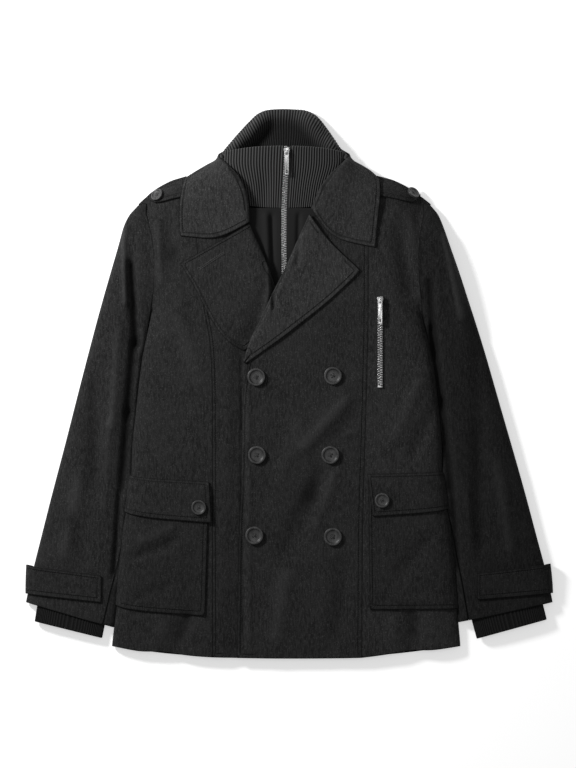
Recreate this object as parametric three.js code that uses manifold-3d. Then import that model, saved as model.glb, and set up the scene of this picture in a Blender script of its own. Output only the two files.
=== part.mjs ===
// A double-breasted pea coat laid flat on its back, front up.
// Frame: +X to the wearer's left, +Y from hem to collar, +Z up off the floor, millimetres.
// Names end in _r or _l for the wearer's right and left.
import * as THREE from 'three';
import Module from 'manifold-3d';
import { mergeVertices } from 'three/addons/utils/BufferGeometryUtils.js';

// Driving dimensions
const WOOL = 2.2;            // melton shell with its lining, one wall
const LIGHT_CLOTH = 1.6;     // smooth cloth of the inner bib
const KNIT = 2.4;            // rib knit under its ribs
const SEAM = 0.3;            // between pieces that are sewn edge to edge
const LAYER = 0.8;           // between layers that lie on each other
const SLEEVE_SPACE = 0.9;    // between the body's side and the sleeve beside it
const SHOULDER_EDGE = 5;     // height of the front's shoulder seam
const SHOULDER_FALL = 46;    // run over which the front falls to that seam
const FRONT_BUTTON = 28;
const FLAP_BUTTON = 23;
const EPAULETTE_BUTTON = 20;
const RIB_HEIGHT = 1.1;      // how far a knitted rib stands out

const WOOL_COLOUR = 0x2b2b2e;
const BIB_COLOUR = 0x1d1d20;
const KNIT_COLOUR = 0x1a1a1c;
const BUTTON_COLOUR = 0x111113;
const METAL_COLOUR = 0xa9a9ab;

const R = -1;                // the wearer's right lies at negative X
const L = 1;

// Small helpers for curves and blends

const lerp = (a, b, t) => a + (b - a) * t;
const clamp01 = (t) => Math.min(1, Math.max(0, t));

function smooth(from, to, value) {
  const t = clamp01((value - from) / (to - from));
  return t * t * (3 - 2 * t);
}

// A smooth curve through a table's rows that never overshoots them
function curve(table, key, name) {
  const x = table.map((row) => row[key]);
  const y = table.map((row) => row[name]);
  const slope = x.slice(1).map((_, i) => (y[i + 1] - y[i]) / (x[i + 1] - x[i]));
  const tangent = x.map((_, i) => {
    if (i === 0) return slope[0];
    if (i === x.length - 1) return slope[i - 1];
    const a = slope[i - 1];
    const b = slope[i];
    return a * b <= 0 ? 0 : (2 * a * b) / (a + b);
  });
  return (at) => {
    if (at <= x[0]) return y[0];
    if (at >= x[x.length - 1]) return y[y.length - 1];
    let i = 0;
    while (at > x[i + 1]) i += 1;
    const h = x[i + 1] - x[i];
    const t = (at - x[i]) / h;
    const t2 = t * t;
    const t3 = t2 * t;
    return (2 * t3 - 3 * t2 + 1) * y[i] + (t3 - 2 * t2 + t) * h * tangent[i]
      + (3 * t2 - 2 * t3) * y[i + 1] + (t3 - t2) * h * tangent[i + 1];
  };
}

function spread(from, to, steps) {
  return Array.from({ length: steps + 1 }, (_, i) => lerp(from, to, i / steps));
}

// Walls of cloth

function gridNormals(grid) {
  const rows = grid.length;
  const columns = grid[0].length;
  return grid.map((row, j) => row.map((_, i) => {
    const along = grid[j][Math.min(i + 1, columns - 1)].clone().sub(grid[j][Math.max(i - 1, 0)]);
    const up = grid[Math.min(j + 1, rows - 1)][i].clone().sub(grid[Math.max(j - 1, 0)][i]);
    return along.cross(up).normalize();
  }));
}

function moveOut(grid, distance, out = 1) {
  const normals = gridNormals(grid);
  return grid.map((row, j) => row.map((point, i) => {
    const by = typeof distance === 'function' ? distance(i, j) : distance;
    return point.clone().addScaledVector(normals[j][i], by * out);
  }));
}

function signedVolume(positions, index) {
  const a = new THREE.Vector3();
  const b = new THREE.Vector3();
  const c = new THREE.Vector3();
  let sum = 0;
  for (let i = 0; i < index.length; i += 3) {
    a.fromArray(positions, index[i] * 3);
    b.fromArray(positions, index[i + 1] * 3);
    c.fromArray(positions, index[i + 2] * 3);
    sum += a.dot(b.clone().cross(c));
  }
  return sum / 6;
}

function solid(points, index) {
  const positions = points.flatMap((p) => [p.x, p.y, p.z]);
  if (signedVolume(positions, index) < 0) {
    for (let i = 0; i < index.length; i += 3) {
      [index[i + 1], index[i + 2]] = [index[i + 2], index[i + 1]];
    }
  }
  const geometry = new THREE.BufferGeometry();
  geometry.setAttribute('position', new THREE.Float32BufferAttribute(positions, 3));
  geometry.setIndex(index);
  geometry.computeVertexNormals();
  return geometry;
}

// A closed wall between two grids. The inner grid may have one column for every
// `every` columns of the outer one, and `loop` joins the last column to the first.
function wallBetween(outer, inner, { every = 1, loop = false } = {}) {
  const rows = outer.length;
  const wide = outer[0].length;
  const narrow = inner[0].length;
  const points = [...outer.flat(), ...inner.flat()];
  const index = [];
  const out = (i, j) => j * wide + (i % wide);
  const into = (i, j) => rows * wide + j * narrow + (i % narrow);
  const quad = (a, b, c, d) => index.push(a, b, c, a, c, d);
  const outerSpans = loop ? wide : wide - 1;
  const innerSpans = loop ? narrow : narrow - 1;
  for (let j = 0; j < rows - 1; j += 1) {
    for (let i = 0; i < outerSpans; i += 1) {
      quad(out(i, j), out(i + 1, j), out(i + 1, j + 1), out(i, j + 1));
    }
    for (let i = 0; i < innerSpans; i += 1) {
      quad(into(i, j), into(i, j + 1), into(i + 1, j + 1), into(i + 1, j));
    }
    if (!loop) {
      quad(out(0, j), out(0, j + 1), into(0, j + 1), into(0, j));
      quad(out(wide - 1, j), into(narrow - 1, j), into(narrow - 1, j + 1), out(wide - 1, j + 1));
    }
  }
  for (let i = 0; i < innerSpans; i += 1) {
    for (let k = 0; k < every; k += 1) {
      const at = i * every + k;
      index.push(out(at, 0), into(i, 0), out(at + 1, 0));
      index.push(out(at, rows - 1), out(at + 1, rows - 1), into(i, rows - 1));
    }
    const end = (i + 1) * every;
    index.push(into(i, 0), into(i + 1, 0), out(end, 0));
    index.push(into(i, rows - 1), out(end, rows - 1), into(i + 1, rows - 1));
  }
  return solid(points, index);
}

function clothWall(grid, thickness = WOOL, out = 1) {
  return wallBetween(grid, moveOut(grid, -thickness, out));
}

// The same, but no inner point reaches below the floor
function clothWallOnFloor(grid, thickness, out) {
  const inner = moveOut(grid, -thickness, out);
  inner.flat().forEach((point) => { point.z = Math.max(point.z, 0); });
  return wallBetween(grid, inner);
}

const coat = new THREE.Group();

function add(name, geometry, color, roughness = 0.9, metalness = 0) {
  const mesh = new THREE.Mesh(geometry, new THREE.MeshStandardMaterial({ color, roughness, metalness }));
  mesh.name = name;
  coat.add(mesh);
  return mesh;
}

// The body's outline: side folds below the armhole, armhole seams above it

const BODY_EDGE = [
  { y: -440, r: -277, l: 273 },
  { y: -411, r: -276, l: 272 },
  { y: -339, r: -271, l: 269 },
  { y: -276, r: -265, l: 263 },
  { y: -201, r: -257, l: 255 },
  { y: -135, r: -250, l: 247 },
  { y: -57, r: -240, l: 240 },
  { y: 20, r: -232, l: 232.5 },
  { y: 61, r: -228, l: 227 },
  { y: 93, r: -225, l: 221 },
  { y: 132, r: -214, l: 210 },
  { y: 155, r: -211, l: 207 },
  { y: 190, r: -209.5, l: 205.5 },
  { y: 226, r: -214, l: 208 },
  { y: 250, r: -221, l: 213 },
  { y: 270, r: -228, l: 219 },
  { y: 282, r: -234, l: 225 },
];
const HEM = [
  { x: -276, y: -411 },
  { x: -213, y: -422 },
  { x: -137, y: -428 },
  { x: 0, y: -430.5 },
  { x: 98, y: -430 },
  { x: 145, y: -427 },
  { x: 224, y: -418 },
  { x: 272, y: -411 },
];
const SHOULDER = [
  { x: -234, y: 282 },
  { x: -200, y: 303 },
  { x: -164, y: 320 },
  { x: -103, y: 349 },
  { x: 95, y: 349 },
  { x: 145, y: 322 },
  { x: 184, y: 304 },
  { x: 225, y: 282 },
];
const PRINCESS = [
  { y: -430, r: -117, l: 116 },
  { y: -245, r: -117, l: 117 },
  { y: -25, r: -117, l: 123 },
  { y: 61, r: -119, l: 125 },
  { y: 100, r: -128, l: 126 },
  { y: 132, r: -133, l: 126 },
  { y: 226, r: -142, l: 126 },
  { y: 335, r: -144, l: 126 },
];
const FRONT_EDGE = [
  { y: -432, x: -79 },
  { y: -276, x: -77 },
  { y: -104, x: -72 },
  { y: 27, x: -70 },
];
const UNDERLAP = 68;         // the right front reaches this far under the left one
const BODY_HEIGHT = [
  { y: -432, h: 16 },
  { y: -330, h: 20 },
  { y: -200, h: 24 },
  { y: 0, h: 26 },
  { y: 200, h: 27 },
  { y: 350, h: 26 },
];
const ARMHOLE_HEIGHT = [
  { y: 80, h: 9 },
  { y: 120, h: 15 },
  { y: 165, h: 20.5 },
  { y: 205, h: 21.5 },
  { y: 240, h: 18 },
  { y: 265, h: 12.5 },
  { y: 282, h: 8 },
];
// Room at the side fold for the pocket and the flap that wrap round it
const POCKET_ROOM = [
  { y: -400, room: 0 },
  { y: -352, room: 3.2 },
  { y: -215, room: 3.2 },
  { y: -195, room: 6.2 },
  { y: -146, room: 6.2 },
  { y: -110, room: 0 },
];

// A side fold's section, from the seam on the floor round to the flat of the panel:
// `in` is the distance in from the outline, `up` the share of the panel's height
const FOLD = [
  { c: -34, in: 26, up: 0 },
  { c: -20, in: 12, up: 0 },
  { c: -14, in: 6.6, up: 0 },
  { c: -7, in: 1.8, up: 0.13 },
  { c: 0, in: 0, up: 0.38 },
  { c: 7, in: 1.8, up: 0.6 },
  { c: 15, in: 7, up: 0.79 },
  { c: 26, in: 17, up: 0.92 },
  { c: 40, in: 31, up: 0.985 },
  { c: 58, in: 49, up: 1 },
];
const FOLD_END = 58;
const FOLD_RUN = 9;          // how much longer the fold's section is than its plan
const SIDE_SEAM = -20;       // where the front ends on the floor
const FOLD_COLUMNS = [-20, -14, -7, 0, 7, 15, 26, 40, 58];

const foldUp = curve(FOLD, 'c', 'up');
const foldInTable = curve(FOLD, 'c', 'in');
const foldIn = (c) => (c > FOLD_END ? c - FOLD_RUN : foldInTable(c));
const foldRise = curve(FOLD.filter((row) => row.c >= 0), 'in', 'up');

const edgeX = { [R]: curve(BODY_EDGE, 'y', 'r'), [L]: curve(BODY_EDGE, 'y', 'l') };
const princessX = { [R]: curve(PRINCESS, 'y', 'r'), [L]: curve(PRINCESS, 'y', 'l') };
const hemY = curve(HEM, 'x', 'y');
const shoulderY = curve(SHOULDER, 'x', 'y');
const frontEdgeX = curve(FRONT_EDGE, 'y', 'x');
const bodyHeight = curve(BODY_HEIGHT, 'y', 'h');
const armholeHeight = curve(ARMHOLE_HEIGHT, 'y', 'h');
const pocketRoom = curve(POCKET_ROOM, 'y', 'room');
const sideX = (side, y) => edgeX[side](y) - side * pocketRoom(y);
// 0 where the side is a fold down to the floor, 1 where it ends at the armhole
const ARMHOLE_FROM = 35;
const ARMHOLE_FULL = 135;
const ARMHOLE_RUN = 52;      // how far in from the armhole the front has its full height
const armholeShare = (y) => smooth(ARMHOLE_FROM, ARMHOLE_FULL, y);

// The largest soft folds: ridges above the panel and troughs below it
const BODY_CREASES = [
  { x0: 92, y0: -38, x1: 28, y1: -96, width: 15, depth: 1.8 },
  { x0: 50, y0: -150, x1: -4, y1: -300, width: 18, depth: -2.2 },
  { x0: 96, y0: -260, x1: 60, y1: -400, width: 16, depth: 1.6 },
  { x0: -190, y0: 262, x1: -168, y1: 190, width: 16, depth: -2.0 },
  { x0: 190, y0: -365, x1: 204, y1: -420, width: 14, depth: -1.8 },
  { x0: -150, y0: -368, x1: -172, y1: -420, width: 14, depth: -1.8 },
  { x0: -180, y0: -60, x1: -150, y1: -125, width: 16, depth: 1.4 },
  { x0: 185, y0: -20, x1: 160, y1: -110, width: 16, depth: 1.4 },
];

function creaseHeight(creases, x, y) {
  let sum = 0;
  for (const crease of creases) {
    const dx = crease.x1 - crease.x0;
    const dy = crease.y1 - crease.y0;
    const along = clamp01(((x - crease.x0) * dx + (y - crease.y0) * dy) / (dx * dx + dy * dy));
    const away = Math.hypot(x - crease.x0 - along * dx, y - crease.y0 - along * dy);
    sum += crease.depth * Math.exp(-((away / crease.width) ** 2));
  }
  return sum;
}

function shoulderFall(x, y) {
  const below = clamp01((shoulderY(x) - y) / SHOULDER_FALL);
  return Math.sqrt(1 - (1 - below) ** 2);
}

// Height of the body's outer face away from its sides
function flatHeight(x, y) {
  const height = bodyHeight(y) + creaseHeight(BODY_CREASES, x, y);
  return lerp(SHOULDER_EDGE, height, shoulderFall(x, y));
}

function sideShare(side, y, inward) {
  const open = armholeHeight(y) / bodyHeight(y);
  const openRise = lerp(open, 1, smooth(0, ARMHOLE_RUN, inward));
  return lerp(foldRise(inward), openRise, armholeShare(y));
}

// A point of the body's outer face, at the fold coordinate c of one side
function bodyPoint(side, c, y) {
  const armhole = armholeShare(y);
  const openIn = (c - SIDE_SEAM) * (FOLD_END - FOLD_RUN) / (FOLD_END - SIDE_SEAM);
  const inward = c > FOLD_END ? c - FOLD_RUN : lerp(foldIn(c), openIn, armhole);
  const x = sideX(side, y) - side * inward;
  const open = armholeHeight(y) / bodyHeight(y);
  const up = lerp(foldUp(c), lerp(open, 1, smooth(0, ARMHOLE_RUN, openIn)), armhole);
  const flat = flatHeight(x, y);
  return new THREE.Vector3(x, y, Math.max(flat * up, SHOULDER_EDGE * armhole));
}

function bodyTop(x, y) {
  const left = sideShare(R, y, Math.max(0, x - sideX(R, y)));
  const right = sideShare(L, y, Math.max(0, sideX(L, y) - x));
  const low = SHOULDER_EDGE * armholeShare(y);
  return new THREE.Vector3(x, y, Math.max(flatHeight(x, y) * left * right, low));
}

// Roll lines and neck line

const ROLL = {
  [L]: [
    { y: 30, x: -70 }, { y: 55, x: -64 }, { y: 100, x: -43 }, { y: 151, x: -20 },
    { y: 187, x: -1 }, { y: 218, x: 12 }, { y: 239, x: 20 }, { y: 268, x: 34 },
  ],
  [R]: [
    { y: 42, x: 27 }, { y: 100, x: 4 }, { y: 155, x: -20 }, { y: 187, x: -31 },
    { y: 210, x: -40 }, { y: 239, x: -54 }, { y: 256, x: -59 },
  ],
};
const NECK = [
  { y: 256, r: -62, l: 32 },
  { y: 276, r: -78, l: 53 },
  { y: 300, r: -89, l: 73 },
  { y: 325, r: -97, l: 83 },
  { y: 349, r: -102, l: 90 },
];
const rollX = { [R]: curve(ROLL[R], 'y', 'x'), [L]: curve(ROLL[L], 'y', 'x') };
const neckX = { [R]: curve(NECK, 'y', 'r'), [L]: curve(NECK, 'y', 'l') };
const ROLL_BREAK = 30;       // the left lapel breaks here
const UNDER_BREAK = 42;      // and the right front's edge turns into its roll here
const NECK_FROM = NECK[0].y;
const NECK_FREE = NECK[1].y; // from here up the neck line has no roll on it
const ROLL_INSET = 5.2;      // the front's own edge lies this far inside the lapel's roll

// The right front dips under the left one over this run, and dips earlier and deeper
// between the heights where the turned lapels cross as well
const DIP_RUN = { from: 24, to: 3 };
const LAPEL_DIP_RUN = { from: 36, to: 12 };
const LAPEL_ROOM = 4.2;
const UNDER_SAG = 2.5;       // below the overlap the right front sags by this much more
const coverX = (y) => (y < ROLL_BREAK ? frontEdgeX(y) : rollX[L](y));
const lapelsCross = (from, full, y) => smooth(from, full, y) * (1 - smooth(165, 185, y));

// How far the right front lies below the body's face, where the left one passes over it
function underlapDrop(x, y) {
  const cover = coverX(y);
  const early = lapelsCross(20, 70, y);
  const from = cover - lerp(DIP_RUN.from, LAPEL_DIP_RUN.from, early);
  const to = cover - lerp(DIP_RUN.to, LAPEL_DIP_RUN.to, early);
  const sag = UNDER_SAG * smooth(cover, cover + 45, x) * (1 - smooth(15, 60, y));
  return smooth(from, to, x) * (WOOL + LAYER + 0.5 + LAPEL_ROOM * lapelsCross(15, 60, y)) + sag;
}

// Back

const BACK_INSET = 13;       // the back's edge meets the front's end on the floor
const BACK_NECK = [
  { x: -100, y: 344 }, { x: -60, y: 337 }, { x: -5, y: 334.5 }, { x: 50, y: 337 }, { x: 88, y: 344 },
];

function backOutline() {
  const ys = [-411, -385, -352, -325, ...spread(-300, -80, 11), ...spread(-55, 282, 11)];
  const inset = (y) => lerp(BACK_INSET, 1.5, smooth(0.3, 1, armholeShare(y)));
  const right = ys.map((y) => [sideX(R, y) + inset(y), y]);
  const left = ys.map((y) => [sideX(L, y) - inset(y), y]).reverse();
  const top = SHOULDER.slice(1, -1).map((row) => [row.x, row.y - SEAM]);
  const neck = BACK_NECK.map((row) => [row.x, row.y]);
  const overTop = [...top.slice(0, 2), [-103, 346], ...neck, [93, 346], ...top.slice(4)];
  const hem = spread(250, -250, 10).map((x) => [x, hemY(x) + 1]);
  return [...right, ...overTop, ...left, ...hem];
}

add('back', new THREE.ExtrudeGeometry(
  new THREE.Shape(backOutline().map(([x, y]) => new THREE.Vector2(x, y))),
  { depth: WOOL, bevelEnabled: false },
), WOOL_COLOUR);

// Fronts

// Heights at which the front and the sleeve both have a row, so their seam fits
const SIDE_YS = [-411, -385, -352, -300, -250, -215, -195, -146, -110, -55, 0];
const ARMHOLE_YS = [46, 90, 124, 157, 190, 221, 248, 267, 278.5, 282];
const SIDE_FROM = SIDE_YS[0];
const SIDE_TO = ARMHOLE_YS[ARMHOLE_YS.length - 1];
const BODY_ROWS = [...SIDE_YS, ...ARMHOLE_YS].map((y) => (y - SIDE_FROM) / (SIDE_TO - SIDE_FROM));
const PRINCESS_HEM = -430;
const PRINCESS_TOP = 335;
const SIDE_COLUMNS = 4;      // columns between the fold and the princess seam

function sideFront(side) {
  const last = FOLD_COLUMNS.length - 1 + SIDE_COLUMNS;
  return BODY_ROWS.map((t) => Array.from({ length: last + 1 }, (_, i) => {
    // The row bends with the hem and the shoulder, so each column has its own ends
    const share = i < FOLD_COLUMNS.length ? 0 : (i - FOLD_COLUMNS.length + 1) / SIDE_COLUMNS;
    const fold = Math.min(i / (FOLD_COLUMNS.length - 1), 1);
    const hemAt = lerp(sideX(side, SIDE_FROM) - side * foldIn(Math.max(0, FOLD_COLUMNS[i] ?? 0)),
      princessX[side](PRINCESS_HEM), share);
    const topAt = lerp(edgeX[side](SIDE_TO) - side * (FOLD_END - FOLD_RUN) * fold,
      princessX[side](PRINCESS_TOP), share);
    const y = lerp(hemY(hemAt), shoulderY(topAt), t);
    if (share === 0) return bodyPoint(side, FOLD_COLUMNS[i], y);
    const start = bodyPoint(side, FOLD_END, y).x;
    const x = lerp(start, princessX[side](y) + side * SEAM / 2, share);
    return bodyTop(x, y);
  }));
}

const CENTRE_COLUMNS = 8;

// The front's inner boundary: front edge, then roll line, then neck line
function innerBoundary(side, y) {
  if (side === L && y <= ROLL_BREAK) return frontEdgeX(y);
  if (side === R && y <= UNDER_BREAK) {
    return lerp(UNDERLAP, ROLL[R][0].x, smooth(-20, UNDER_BREAK, y));
  }
  if (y <= NECK_FROM) return rollX[side](y) + side * ROLL_INSET;
  return neckX[side](y) + side * ROLL_INSET * (1 - smooth(NECK_FROM, NECK_FREE, y));
}

// The right front has close columns where it dips under the left one
function centreColumn(side, i, y) {
  const from = princessX[side](y) - side * SEAM / 2;
  const to = innerBoundary(side, y);
  if (side === L) return lerp(from, to, i / CENTRE_COLUMNS);
  const early = 11 * lapelsCross(20, 70, y);
  const ramp = (k) => Math.min(coverX(y) - early - DIP_RUN.from + 7 * k, to - 18 + 5 * k);
  if (i <= 3) return lerp(from, ramp(0), i / 3);
  return i <= 6 ? ramp(i - 3) : lerp(ramp(3), to, (i - 6) / 2);
}

function centreFront(side) {
  return BODY_ROWS.map((t) => Array.from({ length: CENTRE_COLUMNS + 1 }, (_, i) => {
    const hemAt = centreColumn(side, i, PRINCESS_HEM);
    const topAt = centreColumn(side, i, PRINCESS_TOP);
    const y = lerp(hemY(hemAt), shoulderY(topAt), t);
    const x = centreColumn(side, i, y);
    const point = bodyTop(x, y);
    if (side === R) point.z -= underlapDrop(x, y);
    return point;
  }));
}

for (const [side, letter] of [[R, 'r'], [L, 'l']]) {
  add(`side_front_${letter}`, clothWallOnFloor(sideFront(side), WOOL, -side), WOOL_COLOUR);
  add(`centre_front_${letter}`, clothWall(centreFront(side), WOOL, -side), WOOL_COLOUR);
}

// Lapels, each a turned-back front with a soft roll along its inner edge

// A roll's section: `in` from the roll's edge, `up` above the front it lies on
const ROLL_SECTION = [
  { in: 1.4, up: -1.2 },
  { in: 0, up: 1.6 },
  { in: 1.2, up: 4.6 },
  { in: 6, up: 7 },
  { in: 14, up: 7.4 },
  { in: 30, up: 5.6 },
  { in: 55, up: 3.8 },
  { in: 90, up: 3.2 },
];
const ROLL_STEPS = 5;        // rows of the section that keep their own distance in
const rollUp = curve(ROLL_SECTION.slice(1), 'in', 'up');

// Each row of a lapel: its roll end, the bend of its top edge, and its outer end
const LAPEL_L = [
  { rx: -69, ry: 34, mx: -67, my: 33.5, ox: -65, oy: 33 },
  { rx: -64, ry: 55, mx: -54, my: 51, ox: -43, oy: 48 },
  { rx: -56, ry: 77, mx: -34, my: 71, ox: -12, oy: 70 },
  { rx: -43, ry: 100, mx: -12, my: 94, ox: 20, oy: 95 },
  { rx: -31, ry: 127, mx: 11, my: 118, ox: 60, oy: 126 },
  { rx: -20, ry: 151, mx: 26, my: 140, ox: 86, oy: 150 },
  { rx: -3, ry: 183, mx: 45, my: 165, ox: 107, oy: 170 },
  { rx: 15, ry: 226, mx: 58, my: 196, ox: 112.5, oy: 178 },
  { rx: 34, ry: 266, mx: 66, my: 221, ox: 111, oy: 181 },
];
const LAPEL_R = [
  { rx: -2, ry: 114, mx: -22, my: 104, ox: -46, oy: 90 },
  { rx: -7, ry: 125, mx: -32, my: 114, ox: -62, oy: 96.5 },
  { rx: -12, ry: 137, mx: -42, my: 124, ox: -78, oy: 103 },
  { rx: -21, ry: 160, mx: -60, my: 144, ox: -106, oy: 121 },
  { rx: -31, ry: 187, mx: -80, my: 166, ox: -131, oy: 144 },
  { rx: -42, ry: 214, mx: -96, my: 190, ox: -153, oy: 168 },
  { rx: -53, ry: 237, mx: -105, my: 210, ox: -166, oy: 184 },
  { rx: -58.5, ry: 251, mx: -108, my: 223, ox: -167.5, oy: 189.5 },
];

function rowPoint(row, distance) {
  const first = Math.hypot(row.mx - row.rx, row.my - row.ry);
  const second = Math.hypot(row.ox - row.mx, row.oy - row.my);
  if (distance <= first) {
    return [lerp(row.rx, row.mx, distance / first), lerp(row.ry, row.my, distance / first)];
  }
  const t = (distance - first) / second;
  return [lerp(row.mx, row.ox, t), lerp(row.my, row.oy, t)];
}

function rowLength(row) {
  return Math.hypot(row.mx - row.rx, row.my - row.ry) + Math.hypot(row.ox - row.mx, row.oy - row.my);
}

// The right lapel dips under the left front where that crosses it: 1 where it is under
function lapelUnder(side, x, y) {
  if (side === L) return 0;
  const edge = rollX[L](y);
  return smooth(edge - 22, edge - 4, x) * (1 - smooth(170, 186, y));
}

function lapelHeight(side, x, y, up) {
  return bodyTop(x, y).z + lerp(up, -WOOL - 1.9, lapelUnder(side, x, y));
}

function lapel(side, rows) {
  const outward = side === R ? 7 : 3;
  return rows.map((row) => {
    const length = rowLength(row);
    const scale = Math.min(1, length / 75);
    const fixed = ROLL_SECTION.slice(0, ROLL_STEPS);
    const start = fixed[ROLL_STEPS - 1].in * scale;
    const flat = lapelUnder(side, row.rx, row.ry);
    const points = fixed.map(({ in: inward, up }, i) => {
      const [x, y] = rowPoint(row, lerp(inward, 3.5 * i, flat) * scale);
      return new THREE.Vector3(x, y, lapelHeight(side, x, y, up));
    });
    for (let i = 1; i <= outward; i += 1) {
      const inward = lerp(start, length, i / outward);
      const [x, y] = rowPoint(row, inward);
      points.push(new THREE.Vector3(x, y, lapelHeight(side, x, y, Math.max(rollUp(inward), 3.2))));
    }
    return points;
  });
}

add('lapel_r', clothWall(lapel(R, LAPEL_R), WOOL, -1), WOOL_COLOUR);
add('lapel_l', clothWall(lapel(L, LAPEL_L), WOOL, 1), WOOL_COLOUR);

// Bib: two smooth pieces under the fronts, one on each side of the neck zip

const ZIP_X = [
  { y: 90, x: -5 }, { y: 182, x: -5 }, { y: 226, x: -5.5 }, { y: 281, x: -5 }, { y: 328, x: -2.5 }, { y: 372, x: -1 },
];
const zipX = curve(ZIP_X, 'y', 'x');
const NECK_CHAIN = 9;
const BIB_ROWS = [92, 118, 140, 158, 176, 200, 226, 252, 275.6];
const BIB_WIDTH = [
  { y: 92, r: -58, l: 40 }, { y: 160, r: -62, l: 40 }, { y: 226, r: -72, l: 46 }, { y: 276, r: -76, l: 50 },
];
const bibEdge = { [R]: curve(BIB_WIDTH, 'y', 'r'), [L]: curve(BIB_WIDTH, 'y', 'l') };

function bibHeight(x, y) {
  const below = lerp(WOOL + 9.4, WOOL + 2.4, smooth(150, 205, y));
  return bodyTop(x, y).z - below;
}

for (const [side, letter] of [[R, 'r'], [L, 'l']]) {
  const grid = BIB_ROWS.map((y) => spread(zipX(y) + side * (NECK_CHAIN / 2 + SEAM), bibEdge[side](y), 3)
    .map((x) => new THREE.Vector3(x, y, bibHeight(x, y))));
  add(`bib_${letter}`, clothWall(grid, LIGHT_CLOTH, side), BIB_COLOUR);
}

// Rib-knit funnel collar: a flattened tube, open in front along the zip

const KNIT_X = -6;           // middle of the neck
const KNIT_ROWS = [
  { half: 78, front: 276.3, side: 306, back: 338, high: 20.6, low: 3.8, mid: 10 },
  { half: 85, front: 306, side: 326, back: 372, high: 28, low: 4.1, mid: 12 },
  { half: 92, front: 342, side: 345, back: 404, high: 36, low: 1.2, mid: 15 },
  { half: 97.5, front: 371, side: 359, back: 430, high: 41, low: 2.6, mid: 19 },
];
const KNIT_RIBS = 100;
const RIB_SIDES = 2;         // columns for one rib
const INNER_EVERY = 4;       // outer columns for one column of the plain inside

// Powers that flatten the tube's section: less than 1 is flatter than an ellipse
const KNIT_FLAT = 0.62;
const KNIT_WIDE = 0.9;
const KNIT_BACK_DROP = 1.25; // how soon the back half comes down to the floor

// A point of the knit's plain surface: angle 0 in front, a half turn at the back
function knitPoint(row, angle) {
  const across = Math.sin(angle);
  const depth = Math.cos(angle);
  const flat = Math.sign(depth) * Math.abs(depth) ** KNIT_FLAT;
  const wide = Math.sign(across) * Math.abs(across) ** KNIT_WIDE;
  const y = depth > 0 ? lerp(row.side, row.front, flat) : lerp(row.side, row.back, -flat);
  const z = depth > 0 ? lerp(row.mid, row.high, flat) : lerp(row.mid, row.low, Math.min(1, -flat * KNIT_BACK_DROP));
  return new THREE.Vector3(KNIT_X + row.half * wide, y, z);
}

function knitCollar() {
  const columns = KNIT_RIBS * RIB_SIDES;
  const plain = KNIT_ROWS.map((row) => {
    const gap = (NECK_CHAIN / 2 + SEAM) / row.half;
    const start = gap + (zipX(row.front) - KNIT_X) / row.half;
    const end = 2 * Math.PI - gap + (zipX(row.front) - KNIT_X) / row.half;
    return Array.from({ length: columns + 1 }, (_, i) => knitPoint(row, lerp(start, end, i / columns)));
  });
  const floor = (grid) => {
    grid.flat().forEach((point) => { point.z = Math.max(point.z, 0); });
    return grid;
  };
  const ribs = moveOut(plain, (i) => (i % RIB_SIDES ? 0 : RIB_HEIGHT), 1);
  const inside = moveOut(plain, -KNIT, 1).map((row) => row.filter((_, i) => i % INNER_EVERY === 0));
  return wallBetween(floor(ribs), floor(inside), { every: INNER_EVERY });
}

add('rib_collar', knitCollar(), KNIT_COLOUR);

// Collar: two leaves and the band that joins them behind the neck

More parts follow.
